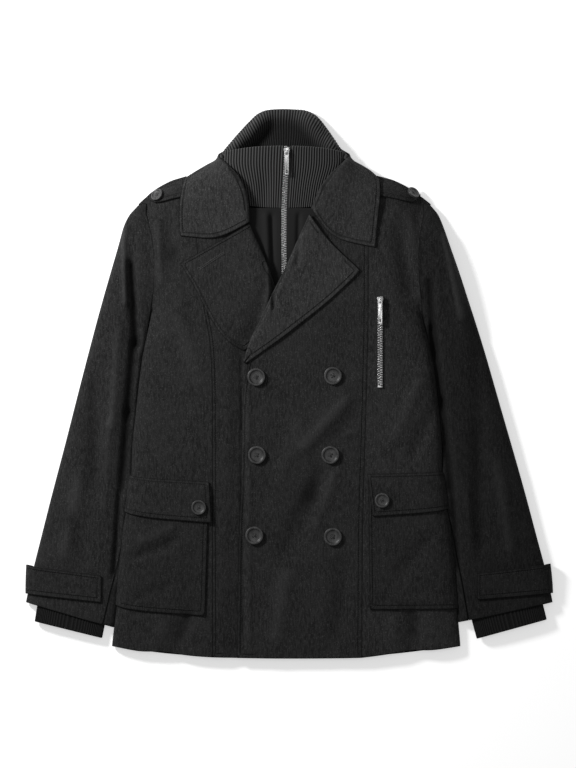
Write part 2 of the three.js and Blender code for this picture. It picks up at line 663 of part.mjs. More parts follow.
// Each row runs from the roll (r) over a middle point (m) to the outer edge (o);
// rz and oz are heights, and a row whose oz is 0 lies on the floor behind the neck
const COLLAR = [
  { rx: -59, ry: 253.5, rz: 35, mx: -109, my: 226.5, ox: -168, oy: 232, lift: 3.4, band: 0 },
  { rx: -59, ry: 268, rz: 36, mx: -112, my: 257, ox: -170, oy: 255, lift: 3.4, band: 0 },
  { rx: -61, ry: 288, rz: 37.5, mx: -115, my: 284, ox: -169.5, oy: 279, lift: 7.4, band: 0 },
  { rx: -66, ry: 308, rz: 39, mx: -115, my: 306, ox: -167, oy: 303, lift: 8.4, band: 0 },
  { rx: -75, ry: 324, rz: 40, mx: -112, my: 325, ox: -161, oy: 323, lift: 8.4, band: 0 },
  { rx: -87, ry: 339, rz: 38, mx: -110, my: 338, ox: -144, oy: 334, lift: 8.6, band: 0 },
  { rx: -102, ry: 352, rz: 30, mx: -111, my: 348, ox: -125, oy: 345, lift: 11, band: 0.3 },
  { rx: -108, ry: 361, rz: 13, mx: -110, my: 357, ox: -112, oy: 352, lift: 3, band: 0.8 },
  { rx: -97, ry: 368, rz: 0, mx: -98, my: 360, ox: -99, oy: 350, lift: 0, band: 1 },
  { rx: -60, ry: 370, rz: 0, mx: -60, my: 358, ox: -60, oy: 343, lift: 0, band: 1 },
  { rx: -5, ry: 371, rz: 0, mx: -5, my: 357, ox: -5, oy: 340, lift: 0, band: 1 },
  { rx: 50, ry: 370, rz: 0, mx: 50, my: 358, ox: 50, oy: 343, lift: 0, band: 1 },
  { rx: 86, ry: 368, rz: 0, mx: 87, my: 360, ox: 88, oy: 350, lift: 0, band: 1 },
  { rx: 97, ry: 361, rz: 13, mx: 99, my: 357, ox: 101, oy: 352, lift: 3, band: 0.8 },
  { rx: 91, ry: 352, rz: 30, mx: 100, my: 348, ox: 114, oy: 345, lift: 11, band: 0.3 },
  { rx: 77, ry: 339, rz: 38, mx: 100, my: 338, ox: 133, oy: 334, lift: 8.6, band: 0 },
  { rx: 63, ry: 325, rz: 40, mx: 100, my: 325, ox: 144, oy: 321, lift: 8.4, band: 0 },
  { rx: 51, ry: 310, rz: 39, mx: 95, my: 305, ox: 146, oy: 301, lift: 8.4, band: 0 },
  { rx: 46, ry: 297, rz: 38, mx: 90, my: 284, ox: 143, oy: 277, lift: 7.4, band: 0 },
  { rx: 41, ry: 286, rz: 37, mx: 80, my: 259, ox: 140, oy: 248, lift: 3.4, band: 0 },
  { rx: 37, ry: 275, rz: 36, mx: 67.5, my: 228, ox: 137, oy: 214, lift: 3.4, band: 0 },
];
// The collar's section at its roll: `in` from the roll's edge, `drop` below its top
const COLLAR_ROLL = [
  { in: 2.2, drop: 7.4 },
  { in: 0, drop: 5 },
  { in: 1.2, drop: 2.2 },
  { in: 6, drop: 0.3 },
  { in: 14, drop: 0 },
];
const COLLAR_OUTWARD = 4;
const COLLAR_REACH = 62;     // where the leaf has come down to the front

function collarGrid() {
  const last = COLLAR_ROLL.length - 1 + COLLAR_OUTWARD;
  return COLLAR.map((row) => Array.from({ length: last + 1 }, (_, i) => {
    const length = rowLength(row);
    const scale = Math.min(1, length / 100);
    const section = COLLAR_ROLL[Math.min(i, COLLAR_ROLL.length - 1)];
    const free = i < COLLAR_ROLL.length ? section.in * scale
      : lerp(14 * scale, length, (i - COLLAR_ROLL.length + 1) / COLLAR_OUTWARD);
    const inward = lerp(free, length * i / last, row.band);
    const [x, y] = rowPoint(row, inward);
    if (row.band === 1) return new THREE.Vector3(x, y, 0);
    const drop = i < COLLAR_ROLL.length ? section.drop * (1 - row.band) : 0;
    const onFront = row.band > 0 ? lerp(row.rz, row.lift, inward / length) : bodyTop(x, y).z + row.lift;
    const fall = smooth(10 * scale, COLLAR_REACH * scale, inward);
    return new THREE.Vector3(x, y, Math.max(lerp(row.rz, onFront, fall) - drop, 0));
  }));
}

add('collar', clothWallOnFloor(collarGrid(), WOOL, -1), WOOL_COLOUR);

// Sleeves: a flattened tube on each side, top sleeve over, under sleeve below

const SLEEVE_EDGE = [
  { y: -342, r: -411, l: 416.5 },
  { y: -308, r: -404, l: 410 },
  { y: -257, r: -391, l: 396 },
  { y: -187, r: -374, l: 378 },
  { y: -122, r: -356, l: 360 },
  { y: -49, r: -338, l: 338 },
  { y: 24, r: -319, l: 318 },
  { y: 89, r: -302, l: 298 },
  { y: 122, r: -293, l: 287 },
  { y: 157, r: -283, l: 276 },
  { y: 195, r: -272, l: 263 },
  { y: 225, r: -263, l: 252 },
  { y: 250, r: -257, l: 244.5 },
  { y: 268, r: -249.5, l: 238.5 },
  { y: 277, r: -243, l: 232.5 },
];
// Rows of the sleeve from its hem: the heights of their outer and inner ends on the plan,
// and how high the sleeve stands
const SLEEVE_ROWS = [
  { outer: -342, innerR: -382, innerL: -374, h: 18 },
  { outer: -316, innerR: -352, innerL: -346, h: 18.5 },
  { outer: -288, innerR: -318, innerL: -315, h: 19.5 },
  { outer: -240, innerR: -262, innerL: -261, h: 21 },
  { outer: -170, innerR: -184, innerL: -184, h: 22 },
  { outer: -95, innerR: -103, innerL: -103, h: 22.5 },
  { outer: -20, innerR: -24, innerL: -24, h: 23 },
  { outer: 48, innerR: 46, innerL: 46, h: 24 },
  { outer: 92, innerR: 90, innerL: 90, h: 25 },
  { outer: 128, innerR: 124, innerL: 124, h: 25.5 },
  { outer: 162, innerR: 157, innerL: 157, h: 25.5 },
  { outer: 195, innerR: 190, innerL: 190, h: 25 },
  { outer: 225, innerR: 221, innerL: 221, h: 23 },
  { outer: 250, innerR: 248, innerL: 248, h: 19 },
  { outer: 268, innerR: 267, innerL: 267, h: 14 },
  { outer: 277, innerR: 278.5, innerL: 278.5, h: 10 },
];
const CAP_FROM = 8;          // the first row above the underarm
const SLEEVE_FOLD = 104;     // a narrower row has its folds made narrower with it
// How far the seam between top and under sleeve has rolled on to the upper side
const SEAM_ROLL = [
  { row: 0, r: 28, l: 26 }, { row: 2, r: 20, l: 21 }, { row: 3, r: 9, l: 16 },
  { row: 4, r: 5, l: 9 }, { row: 5, r: 5, l: 5 },
];
const SLEEVE_CREASES = [
  { x0: -247, y0: 217, x1: -240, y1: 140, width: 9, depth: -3.5 },
  { x0: -240, y0: 140, x1: -239, y1: 60, width: 9, depth: -3.5 },
  { x0: -262, y0: 200, x1: -262, y1: 110, width: 9, depth: 1.2 },
  { x0: -303, y0: -9, x1: -303, y1: -151, width: 18, depth: -1.6 },
  { x0: 219, y0: 150, x1: 229, y1: 60, width: 9, depth: -3.5 },
  { x0: 250, y0: 220, x1: 274, y1: 70, width: 10, depth: 1.4 },
  { x0: 297, y0: -90, x1: 300, y1: -240, width: 18, depth: -1.8 },
];
const sleeveEdgeX = { [R]: curve(SLEEVE_EDGE, 'y', 'r'), [L]: curve(SLEEVE_EDGE, 'y', 'l') };
const seamRoll = { [R]: curve(SEAM_ROLL, 'row', 'r'), [L]: curve(SEAM_ROLL, 'row', 'l') };

// A row of the sleeve at any place between the table's rows
function sleeveRow(side, at) {
  const i = Math.min(Math.floor(at), SLEEVE_ROWS.length - 2);
  const t = at - i;
  const inner = side === R ? 'innerR' : 'innerL';
  const outerY = lerp(SLEEVE_ROWS[i].outer, SLEEVE_ROWS[i + 1].outer, t);
  const innerY = lerp(SLEEVE_ROWS[i][inner], SLEEVE_ROWS[i + 1][inner], t);
  const cap = smooth(CAP_FROM - 1, CAP_FROM + 1.2, at);
  const gap = lerp(SLEEVE_SPACE, SEAM, cap);
  const outer = new THREE.Vector2(sleeveEdgeX[side](outerY), outerY);
  const innerEnd = new THREE.Vector2(edgeX[side](innerY) + side * gap, innerY);
  const length = outer.distanceTo(innerEnd);
  return {
    outer,
    inner: innerEnd,
    length,
    cap,
    height: lerp(SLEEVE_ROWS[i].h, SLEEVE_ROWS[i + 1].h, t),
    scale: Math.min(1, length / SLEEVE_FOLD),
    armhole: armholeHeight(innerY),
    seam: seamRoll[side](at),
  };
}

function sleeveSpot(row, fromOuter) {
  return row.outer.clone().lerp(row.inner, fromOuter / row.length);
}

// The upper face of a sleeve at a distance in from its outer edge
function sleeveTop(row, fromOuter) {
  const spot = sleeveSpot(row, fromOuter);
  const fromInner = row.length - fromOuter;
  const outerShare = foldRise(fromOuter / row.scale);
  const open = lerp(row.armhole / row.height, 1, smooth(0, 45 * row.scale, fromInner));
  const innerShare = lerp(foldRise(Math.max(0, fromInner) / row.scale), open, row.cap);
  const crease = creaseHeight(SLEEVE_CREASES, spot.x, spot.y) * smooth(0, 30, fromInner + 18 * row.cap);
  const z = row.height * outerShare * innerShare + crease * outerShare;
  return new THREE.Vector3(spot.x, spot.y, z);
}

// The outer fold of a sleeve at the fold coordinate c, negative below its widest place
function sleeveOuter(row, c) {
  const fromOuter = foldIn(c) * row.scale;
  if (c >= 0) return sleeveTop(row, fromOuter);
  const spot = sleeveSpot(row, fromOuter);
  return new THREE.Vector3(spot.x, spot.y, row.height * foldUp(c));
}

const SLEEVE_OUTER_COLUMNS = [-34, -20, -14, -7, 0, 7, 15, 26, 40, 58];

function topSleeve(side) {
  return SLEEVE_ROWS.map((_, at) => {
    const row = sleeveRow(side, at);
    const points = SLEEVE_OUTER_COLUMNS.map((c) => sleeveOuter(row, c));
    const start = foldIn(FOLD_END) * row.scale;
    const middleEnd = row.length - foldIn(44) * row.scale;
    for (let i = 1; i <= 2; i += 1) {
      const t = i / 2;
      points.push(sleeveTop(row, lerp(start, Math.max(middleEnd, start + 1.5), t)));
    }
    const seamC = row.seam;
    const from = Math.max(middleEnd, start + 1.5);
    const seamIn = row.length - foldIn(seamC) * row.scale * (1 - row.cap);
    for (let i = 1; i <= 4; i += 1) {
      const c = lerp(44, seamC, i / 4);
      const plain = row.length - foldIn(c) * row.scale;
      const open = lerp(from, seamIn, i / 4);
      points.push(sleeveTop(row, lerp(plain, open, row.cap)));
    }
    return points;
  });
}

const UNDER_TOP = 13;        // the under sleeve's last row

function underSleeve(side) {
  return SLEEVE_ROWS.slice(0, UNDER_TOP + 1).map((_, at) => {
    const row = sleeveRow(side, at);
    const start = row.seam - lerp(2.4, 1.1, smooth(5, 15, row.seam));
    const folds = [start, lerp(start, 0, 0.5), 0, -7, -14, -20];
    const points = folds.map((c, i) => {
      const fromInner = lerp(foldIn(c) * row.scale, (0.8 + 1.6 * i) * row.scale, row.cap);
      const spot = sleeveSpot(row, row.length - fromInner);
      const up = c >= 0 ? sleeveTop(row, row.length - fromInner).z : row.height * foldUp(c);
      return new THREE.Vector3(spot.x, spot.y, lerp(up, 0, row.cap));
    });
    const floorFrom = row.length - lerp(foldIn(SIDE_SEAM), 8.8, row.cap) * row.scale;
    const floorTo = foldIn(-34) * row.scale + SEAM;
    for (let i = 1; i <= 3; i += 1) {
      const spot = sleeveSpot(row, lerp(floorFrom, floorTo, i / 3));
      points.push(new THREE.Vector3(spot.x, spot.y, 0));
    }
    return points;
  });
}

for (const [side, letter] of [[R, 'r'], [L, 'l']]) {
  add(`top_sleeve_${letter}`, clothWallOnFloor(topSleeve(side), WOOL, -side), WOOL_COLOUR);
  add(`under_sleeve_${letter}`, clothWallOnFloor(underSleeve(side), WOOL, -side), WOOL_COLOUR);
}

// Storm cuffs: rib-knit tubes that show below the sleeves

const CUFF_ROWS = {
  [R]: [{ ox: -394, oy: -372, ix: -293, iy: -397 }, { ox: -386, oy: -322, ix: -284, iy: -352 }],
  [L]: [{ ox: 404, oy: -369, ix: 299, iy: -398 }, { ox: 392, oy: -320, ix: 285, iy: -346 }],
};
const CUFF_FLOOR = 3.4;
const CUFF_HEIGHT = [10.4, 10.8];
const CUFF_RIBS = 52;
const CUFF_WIDE = 0.8;       // powers that flatten the cuff's section
const CUFF_FLAT = 0.55;
const CUFF_FINER = 0.8;      // the cuff's knit is this much finer than the collar's

function stormCuff(side) {
  const columns = CUFF_RIBS * RIB_SIDES;
  const plain = CUFF_ROWS[side].map((row, j) => Array.from({ length: columns }, (_, i) => {
    const angle = 2 * Math.PI * i / columns;
    const across = (1 + Math.sign(Math.cos(angle)) * Math.abs(Math.cos(angle)) ** CUFF_WIDE) / 2;
    const up = Math.sign(Math.sin(angle)) * Math.abs(Math.sin(angle)) ** CUFF_FLAT;
    const half = CUFF_HEIGHT[j] / 2;
    return new THREE.Vector3(lerp(row.ix, row.ox, across), lerp(row.iy, row.oy, across),
      CUFF_FLOOR + half + half * up);
  }));
  // The tube's surface moved out of itself, with the columns joined round
  const shifted = (distance) => plain.map((row, j) => row.map((point, i) => {
    const next = row[(i + 1) % columns];
    const previous = row[(i + columns - 1) % columns];
    const up = plain[1][i].clone().sub(plain[0][i]);
    const normal = next.clone().sub(previous).cross(up).normalize();
    return point.clone().addScaledVector(normal, -side * distance(i));
  }));
  const ribs = shifted((i) => (i % RIB_SIDES ? 0 : RIB_HEIGHT * CUFF_FINER));
  const inside = shifted(() => -KNIT * CUFF_FINER).map((row) => row.filter((_, i) => i % INNER_EVERY === 0));
  return wallBetween(ribs, inside, { every: INNER_EVERY, loop: true });
}

for (const [side, letter] of [[R, 'r'], [L, 'l']]) {
  add(`storm_cuff_${letter}`, stormCuff(side), KNIT_COLOUR);
}

// Cuff straps: sewn into the sleeve seam, round the outer edge, standing proud there

const STRAP = {
  [R]: { topOuter: -286, topInner: -300, bottomOuter: -329, bottomInner: -342, seam: -292, proud: 0.95 },
  [L]: { topOuter: -284, topInner: -296, bottomOuter: -328, bottomInner: -338, seam: 297, proud: 0.7 },
};
const STRAP_COLUMNS = [-9, -4, 0, 7, 15, 26, 40, 58];
const STRAP_PROUD = [
  { c: -9, out: 1.5 }, { c: -4, out: 4 }, { c: 0, out: 6.5 }, { c: 7, out: 7 },
  { c: 15, out: 5.5 }, { c: 26, out: 3 }, { c: 40, out: 1 }, { c: 58, out: 0.4 },
];
const strapProud = curve(STRAP_PROUD, 'c', 'out');

// The sleeve's row through a place on the plan
function sleeveRowThrough(side, x, y) {
  let low = 0;
  let high = 6;
  for (let i = 0; i < 24; i += 1) {
    const at = (low + high) / 2;
    const row = sleeveRow(side, at);
    const t = (x - row.outer.x) / (row.inner.x - row.outer.x);
    if (lerp(row.outer.y, row.inner.y, t) < y) low = at;
    else high = at;
  }
  return sleeveRow(side, (low + high) / 2);
}

function cuffStrap(side) {
  const strap = STRAP[side];
  const rows = [0, 0.33, 0.67, 1];
  const count = STRAP_COLUMNS.length + 3;
  const grid = rows.map((t) => Array.from({ length: count }, (_, i) => {
    const outerY = lerp(strap.bottomOuter, strap.topOuter, t);
    const innerY = lerp(strap.bottomInner, strap.topInner, t);
    const outerX = sleeveEdgeX[side](outerY);
    const c = STRAP_COLUMNS[Math.min(i, STRAP_COLUMNS.length - 1)];
    const fixed = outerX - side * foldIn(c);
    const share = Math.max(0, (i - STRAP_COLUMNS.length + 1) / 3);
    const x = lerp(fixed, strap.seam, share);
    const y = lerp(outerY, innerY, (outerX - x) / (outerX - strap.seam));
    const row = sleeveRowThrough(side, x, y);
    if (c < 0) return new THREE.Vector3(x, y, row.height * foldUp(c));
    const fromOuter = Math.abs(x - row.outer.x) * row.length / Math.abs(row.inner.x - row.outer.x);
    const point = sleeveTop(row, fromOuter);
    return new THREE.Vector3(x, y, point.z);
  }));
  const outer = moveOut(grid, (i, j) => {
    const c = STRAP_COLUMNS[Math.min(i, STRAP_COLUMNS.length - 1)];
    return WOOL + LAYER + strap.proud * lerp(0.1, 1.7, j / (rows.length - 1)) * strapProud(c);
  }, -side);
  outer.flat().forEach((point) => { point.z = Math.max(point.z, 0.4); });
  return outer;
}

for (const [side, letter] of [[R, 'r'], [L, 'l']]) {
  add(`cuff_strap_${letter}`, clothWallOnFloor(cuffStrap(side), WOOL, -side), WOOL_COLOUR);
}

// Patch pockets and their flaps, made from the side fronts' own points

const POCKET_COLUMNS = [-3, 0, 7, 15, 26, 40, 58];
const POCKET = {
  [R]: {
    top: [-163, -166], bottom: [-345, -363], inner: [{ y: -363, x: -129.5 }, { y: -163, x: -123.5 }],
    flapTop: [-142, -153], flapBottom: [-199, -217], flapInner: [{ y: -217, x: -119.5 }, { y: -142, x: -123.5 }],
  },
  [L]: {
    top: [-156, -158], bottom: [-352, -353], inner: [{ y: -353, x: 129 }, { y: -156, x: 126.5 }],
    flapTop: [-137, -141], flapBottom: [-195, -207], flapInner: [{ y: -207, x: 133 }, { y: -141, x: 125 }],
  },
};

const PATCH_OUTWARD = 3;

function panelPatch(side, top, bottom, inner, between) {
  const innerX = curve(inner, 'y', 'x');
  const count = POCKET_COLUMNS.length + PATCH_OUTWARD;
  const rows = [0, ...between.map((y) => (y - bottom[0]) / (top[0] - bottom[0])), 1];
  return rows.map((t) => Array.from({ length: count }, (_, i) => {
    const across = Math.min(1, Math.max(0, i - 1) / (count - 2));
    const y = lerp(lerp(bottom[0], bottom[1], across), lerp(top[0], top[1], across), t);
    if (i < POCKET_COLUMNS.length) return bodyPoint(side, POCKET_COLUMNS[i], y);
    const start = bodyPoint(side, FOLD_END, y).x;
    return bodyTop(lerp(start, innerX(y), (i - POCKET_COLUMNS.length + 1) / PATCH_OUTWARD), y);
  }));
}

const PATCH = WOOL + LAYER;
// Rows of the pocket and the flap that meet the side front's own rows
const POCKET_YS = [-300, -250, -215, -195];
const FLAP_YS = [-172, -152];

for (const [side, letter] of [[R, 'r'], [L, 'l']]) {
  const { top, bottom, inner, flapTop, flapBottom, flapInner } = POCKET[side];
  const pocket = panelPatch(side, top, bottom, inner, POCKET_YS);
  add(`pocket_${letter}`, clothWall(moveOut(pocket, PATCH, -side), WOOL, -side), WOOL_COLOUR);
  const flap = panelPatch(side, flapTop, flapBottom, flapInner, FLAP_YS);
  const rise = (i, j) => (j === flap.length - 1 ? PATCH : 2 * PATCH + 0.3);
  add(`flap_${letter}`, clothWall(moveOut(flap, rise, -side), WOOL, -side), WOOL_COLOUR);
}

// Epaulettes: from under the collar to the sleeve head, over the shoulder's edge

// Each row has its upper end (t) and lower end (l) on the plan
const EPAULETTE = {
  [R]: [
    { tx: -166, ty: 324, lx: -163, ly: 295 }, { tx: -177, ty: 319, lx: -174, ly: 291 },
    { tx: -198, ty: 309, lx: -195, ly: 284.5 }, { tx: -211, ty: 302, lx: -207, ly: 283.5 },
    { tx: -219, ty: 296, lx: -215, ly: 287 },
  ],
  [L]: [
    { tx: 148, ty: 324.5, lx: 146.5, ly: 295 }, { tx: 158, ty: 321, lx: 158, ly: 292 },
    { tx: 180, ty: 311, lx: 180, ly: 286 }, { tx: 197, ty: 303, lx: 195, ly: 284 },
    { tx: 209, ty: 297, lx: 204, ly: 288 },
  ],
};

for (const [side, letter] of [[R, 'r'], [L, 'l']]) {
  const grid = [0, 0.2, 0.42, 0.68, 1].map((t) => EPAULETTE[side].map((row) => {
    const x = lerp(row.lx, row.tx, t);
    const y = lerp(row.ly, row.ty, t);
    return new THREE.Vector3(x, y, bodyTop(x, y).z);
  }));
  add(`epaulette_${letter}`, clothWall(moveOut(grid, PATCH + 0.5, side), WOOL, side), WOOL_COLOUR);
}

// Buttons: rimmed discs, each seated clear of the cloth under it

// Outline of a button from its axis: `out` is the share of the radius, `up` of the thickness
const BUTTON_SECTION = [
  { out: 0, up: 0 }, { out: 0.82, up: 0 }, { out: 1, up: 0.4 }, { out: 0.96, up: 0.86 },
  { out: 0.84, up: 1 }, { out: 0.66, up: 0.62 }, { out: 0, up: 0.58 },
];
const BUTTON_THICKNESS = 0.17;   // of the diameter
const BUTTON_SIDES = 14;
const BUTTON_GAP = 0.4;
const FRONT_BUTTONS = [
  { name: 'r1', x: -49, y: 11 }, { name: 'r2', x: -48, y: -111 }, { name: 'r3', x: -52, y: -237 },
  { name: 'l1', x: 71, y: 13 }, { name: 'l2', x: 67, y: -111 }, { name: 'l3', x: 71, y: -239 },
];

function buttonShape(diameter) {
  const points = BUTTON_SECTION.map(({ out, up }) => new THREE.Vector2(
    out * diameter / 2,
    up * diameter * BUTTON_THICKNESS,
  ));
  const lathe = new THREE.LatheGeometry(points, BUTTON_SIDES);
  lathe.deleteAttribute('normal');
  lathe.deleteAttribute('uv');
  return mergeVertices(lathe.rotateX(Math.PI / 2), 1e-4);
}

function seatButton(name, diameter, surface, x, y) {
  const centre = surface(x, y);
  const dx = surface(x + 4, y).sub(surface(x - 4, y));
  const dy = surface(x, y + 4).sub(surface(x, y - 4));
  const normal = dx.cross(dy).normalize();
  let lift = 0;
  for (let i = 0; i < 12; i += 1) {
    const angle = i * Math.PI / 6;
    const rim = surface(x + Math.cos(angle) * diameter * 0.5, y + Math.sin(angle) * diameter * 0.5);
    lift = Math.max(lift, rim.sub(centre).dot(normal));
  }
  const mesh = add(name, buttonShape(diameter), BUTTON_COLOUR, 0.3);
  mesh.position.copy(centre).addScaledVector(normal, lift + BUTTON_GAP);
  mesh.quaternion.setFromUnitVectors(new THREE.Vector3(0, 0, 1), normal);
  return mesh;
}

const raised = (by) => (x, y) => {
  const point = bodyTop(x, y);
  point.z += by;
  return point;
};

FRONT_BUTTONS.forEach(({ name, x, y }) => seatButton(`button_${name}`, FRONT_BUTTON, raised(0), x, y));
seatButton('flap_button_r', FLAP_BUTTON, raised(2 * PATCH + 0.5), -139, -193);
seatButton('flap_button_l', FLAP_BUTTON, raised(2 * PATCH + 0.5), 148, -182);
seatButton('epaulette_button_r', EPAULETTE_BUTTON, raised(PATCH + 0.3), -203, 295);
seatButton('epaulette_button_l', EPAULETTE_BUTTON, raised(PATCH - 0.6), 194, 296);

// Zips: chain on its tape, slider with a bail, and a pull that swings on it

const CHAIN = 2.2;           // thickness of chain and tape
const SLIDER = { wide: 9.8, long: 13, thick: 3.4 };
const BAIL = { wide: 2.2, wall: 1.2, insideY: 1.75, insideZ: 2.9 };
const PULL = { wide: 6.6, thick: 1.6, long: 36, bar: 0.8, window: 4.6, windowWide: 3.6 };
const PIVOT_UP = 1.45;       // the pull's pivot above the slider
const CHEST_CHAIN = 8;
const CHEST_X = 145;

const wasm = await Module();
wasm.setup();

function toManifold(geometry) {
  const bare = geometry.clone();
  Object.keys(bare.attributes).filter((key) => key !== 'position').forEach((key) => bare.deleteAttribute(key));
  const merged = mergeVertices(bare, 1e-4);
  return new wasm.Manifold(new wasm.Mesh({
    numProp: 3,
    vertProperties: Float32Array.from(merged.attributes.position.array),
    triVerts: Uint32Array.from(merged.index.array),
  }));
}

function fromManifold(manifold) {
  const mesh = manifold.getMesh();
  const geometry = new THREE.BufferGeometry();
  geometry.setAttribute('position', new THREE.BufferAttribute(new Float32Array(mesh.vertProperties), 3));
  geometry.setIndex(new THREE.BufferAttribute(new Uint32Array(mesh.triVerts), 1));
  geometry.computeVertexNormals();
  return geometry;
}

function rectangle(x0, y0, x1, y1, Kind = THREE.Shape) {
  const shape = new Kind();
  shape.moveTo(x0, y0).lineTo(x1, y0).lineTo(x1, y1).lineTo(x0, y1).closePath();
  return shape;
}

// The slider lies flat with its top at zero, wide end up, and its bail stands on it
function sliderShape() {
  const half = SLIDER.wide / 2;
  const end = SLIDER.long / 2;
  const plan = new THREE.Shape();
  plan.moveTo(-half * 0.62, -end).lineTo(half * 0.62, -end).lineTo(half * 0.8, -1)
    .lineTo(half, end * 0.55).lineTo(half * 0.8, end).lineTo(-half * 0.8, end)
    .lineTo(-half, end * 0.55).lineTo(-half * 0.8, -1).closePath();
  const body = new THREE.ExtrudeGeometry(plan, { depth: SLIDER.thick, bevelEnabled: false });
  body.translate(0, 0, -SLIDER.thick);
  const outerY = BAIL.insideY + BAIL.wall;
  const side = new THREE.Shape();
  side.moveTo(-outerY, -0.5).lineTo(-outerY, BAIL.insideZ - 0.4).lineTo(-outerY + 1.1, BAIL.insideZ + BAIL.wall)
    .lineTo(outerY - 1.1, BAIL.insideZ + BAIL.wall).lineTo(outerY, BAIL.insideZ - 0.4).lineTo(outerY, -0.5)
    .lineTo(BAIL.insideY, -0.5).lineTo(BAIL.insideY, BAIL.insideZ).lineTo(-BAIL.insideY, BAIL.insideZ)
    .lineTo(-BAIL.insideY, -0.5).closePath();
  const bail = new THREE.ExtrudeGeometry(side, { depth: BAIL.wide, bevelEnabled: false });
  bail.translate(0, 0, -BAIL.wide / 2);
  bail.applyMatrix4(new THREE.Matrix4().makeBasis(
    new THREE.Vector3(0, 1, 0), new THREE.Vector3(0, 0, 1), new THREE.Vector3(1, 0, 0),
  ));
  return fromManifold(toManifold(body).add(toManifold(bail)));
}

// The pull hangs from its pivot toward -Y, with a window round the bail and a hole at its end
function pullShape() {
  const half = PULL.wide / 2;
  const plan = rectangle(-half, -PULL.long, half, PULL.bar);
  plan.holes.push(rectangle(-PULL.windowWide / 2, -PULL.window, PULL.windowWide / 2, -PULL.bar, THREE.Path));
  plan.holes.push(rectangle(-1.5, -PULL.long + 2.4, 1.5, -PULL.long + 7.4, THREE.Path));
  const geometry = new THREE.ExtrudeGeometry(plan, { depth: PULL.thick, bevelEnabled: false });
  return geometry.translate(0, 0, -PULL.thick / 2);
}

// Slider and pull on a chain whose face passes through `at` and rises by `slope`
function sliderAndPull(prefix, at, slope) {
  const place = new THREE.Group();
  place.position.set(...at);
  place.rotation.x = slope;
  coat.add(place);
  const slider = add(`${prefix}_slider`, sliderShape(), METAL_COLOUR, 0.3, 1);
  slider.position.z = SLIDER.thick + SEAM;
  place.add(slider);
  const pull = add(`${prefix}_pull`, pullShape(), METAL_COLOUR, 0.3, 1);
  pull.position.z = SLIDER.thick + SEAM + PIVOT_UP;
  place.add(pull);
}

function strip(line, width) {
  return line.map(({ x, y, z }) => spread(x - width / 2, x + width / 2, 1)
    .map((at) => new THREE.Vector3(at, y, z)));
}

const NECK_STEPS = [100, 118, 140, 158, 176, 200, 226, 252, 275.6];
const neckLine = [
  ...NECK_STEPS.map((y) => ({ x: zipX(y), y, z: bibHeight(zipX(y), y) + 0.5 })),
  ...KNIT_ROWS.map((row) => ({ x: zipX(row.front), y: row.front + 0.3, z: row.high + 0.9 })),
];
add('neck_zip', clothWall(strip(neckLine, NECK_CHAIN), CHAIN, 1), METAL_COLOUR, 0.35, 1);

const CHEST_YS = [-6, 22, 46, 68, 90, 106, 124, 137];
const chestLine = CHEST_YS.map((y) => ({ x: CHEST_X, y, z: bodyTop(CHEST_X, y).z + CHAIN + 0.5 }));
add('chest_zip', clothWall(strip(chestLine, CHEST_CHAIN), CHAIN, 1), METAL_COLOUR, 0.35, 1);

const knitTop = KNIT_ROWS[KNIT_ROWS.length - 1];
const knitBelow = KNIT_ROWS[KNIT_ROWS.length - 2];
const knitSlope = Math.atan2(knitTop.high - knitBelow.high, knitTop.front - knitBelow.front);
const NECK_SLIDER_Y = 363;
const neckSliderZ = knitTop.high + 0.9 - (knitTop.front - NECK_SLIDER_Y) * Math.tan(knitSlope);
sliderAndPull('neck', [zipX(NECK_SLIDER_Y), NECK_SLIDER_Y, neckSliderZ], knitSlope);
const CHEST_SLIDER_Y = 130;
sliderAndPull('chest', [CHEST_X, CHEST_SLIDER_Y, bodyTop(CHEST_X, CHEST_SLIDER_Y).z + CHAIN + 0.5], 0);

// The origin lies on the floor under the middle of the whole coat
const box = new THREE.Box3().setFromObject(coat);
coat.position.set(-(box.min.x + box.max.x) / 2, -(box.min.y + box.max.y) / 2, -box.min.z);

export default coat;
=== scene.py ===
import math

import bmesh
import bpy
import numpy as np
from bpy.props import FloatProperty, FloatVectorProperty, IntProperty, PointerProperty
from mathutils import Matrix, Vector, noise
from mathutils.bvhtree import BVHTree
from mathutils.kdtree import KDTree


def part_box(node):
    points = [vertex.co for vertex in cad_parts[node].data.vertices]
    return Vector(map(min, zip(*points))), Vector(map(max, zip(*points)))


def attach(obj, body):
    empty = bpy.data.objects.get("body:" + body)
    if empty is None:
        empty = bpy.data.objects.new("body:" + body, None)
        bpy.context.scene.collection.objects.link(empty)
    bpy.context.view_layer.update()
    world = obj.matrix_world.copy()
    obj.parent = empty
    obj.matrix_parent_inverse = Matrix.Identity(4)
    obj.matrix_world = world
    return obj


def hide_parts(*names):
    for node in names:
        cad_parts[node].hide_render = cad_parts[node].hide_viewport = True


bl_info = {
    "name": "Pea Coat, Laid Flat",
    "version": (1, 0, 0),
    "blender": (4, 5, 0),
    "location": "3D View > Sidebar > Pea Coat",
    "description": "Dresses a double-breasted wool pea coat that lies on its back",
    "category": "Object",
}

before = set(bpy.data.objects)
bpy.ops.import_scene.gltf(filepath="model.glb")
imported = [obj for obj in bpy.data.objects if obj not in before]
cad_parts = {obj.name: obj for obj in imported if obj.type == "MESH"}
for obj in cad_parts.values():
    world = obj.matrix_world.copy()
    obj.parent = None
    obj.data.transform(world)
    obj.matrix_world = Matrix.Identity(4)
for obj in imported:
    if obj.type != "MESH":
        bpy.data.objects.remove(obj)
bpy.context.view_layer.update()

MM = 0.001
COAT = "coat"                # the body that all the cloth belongs to
PATTERN_SHIFT = (-2.56, 0.22)    # from the drawing's zero to the frame's, in millimetres
UP = Vector((0, 0, 1))
SIDES = {"r": -1, "l": 1}        # the wearer's right lies at negative X
PLACES = {}                      # what is measured once on the nodes and used again


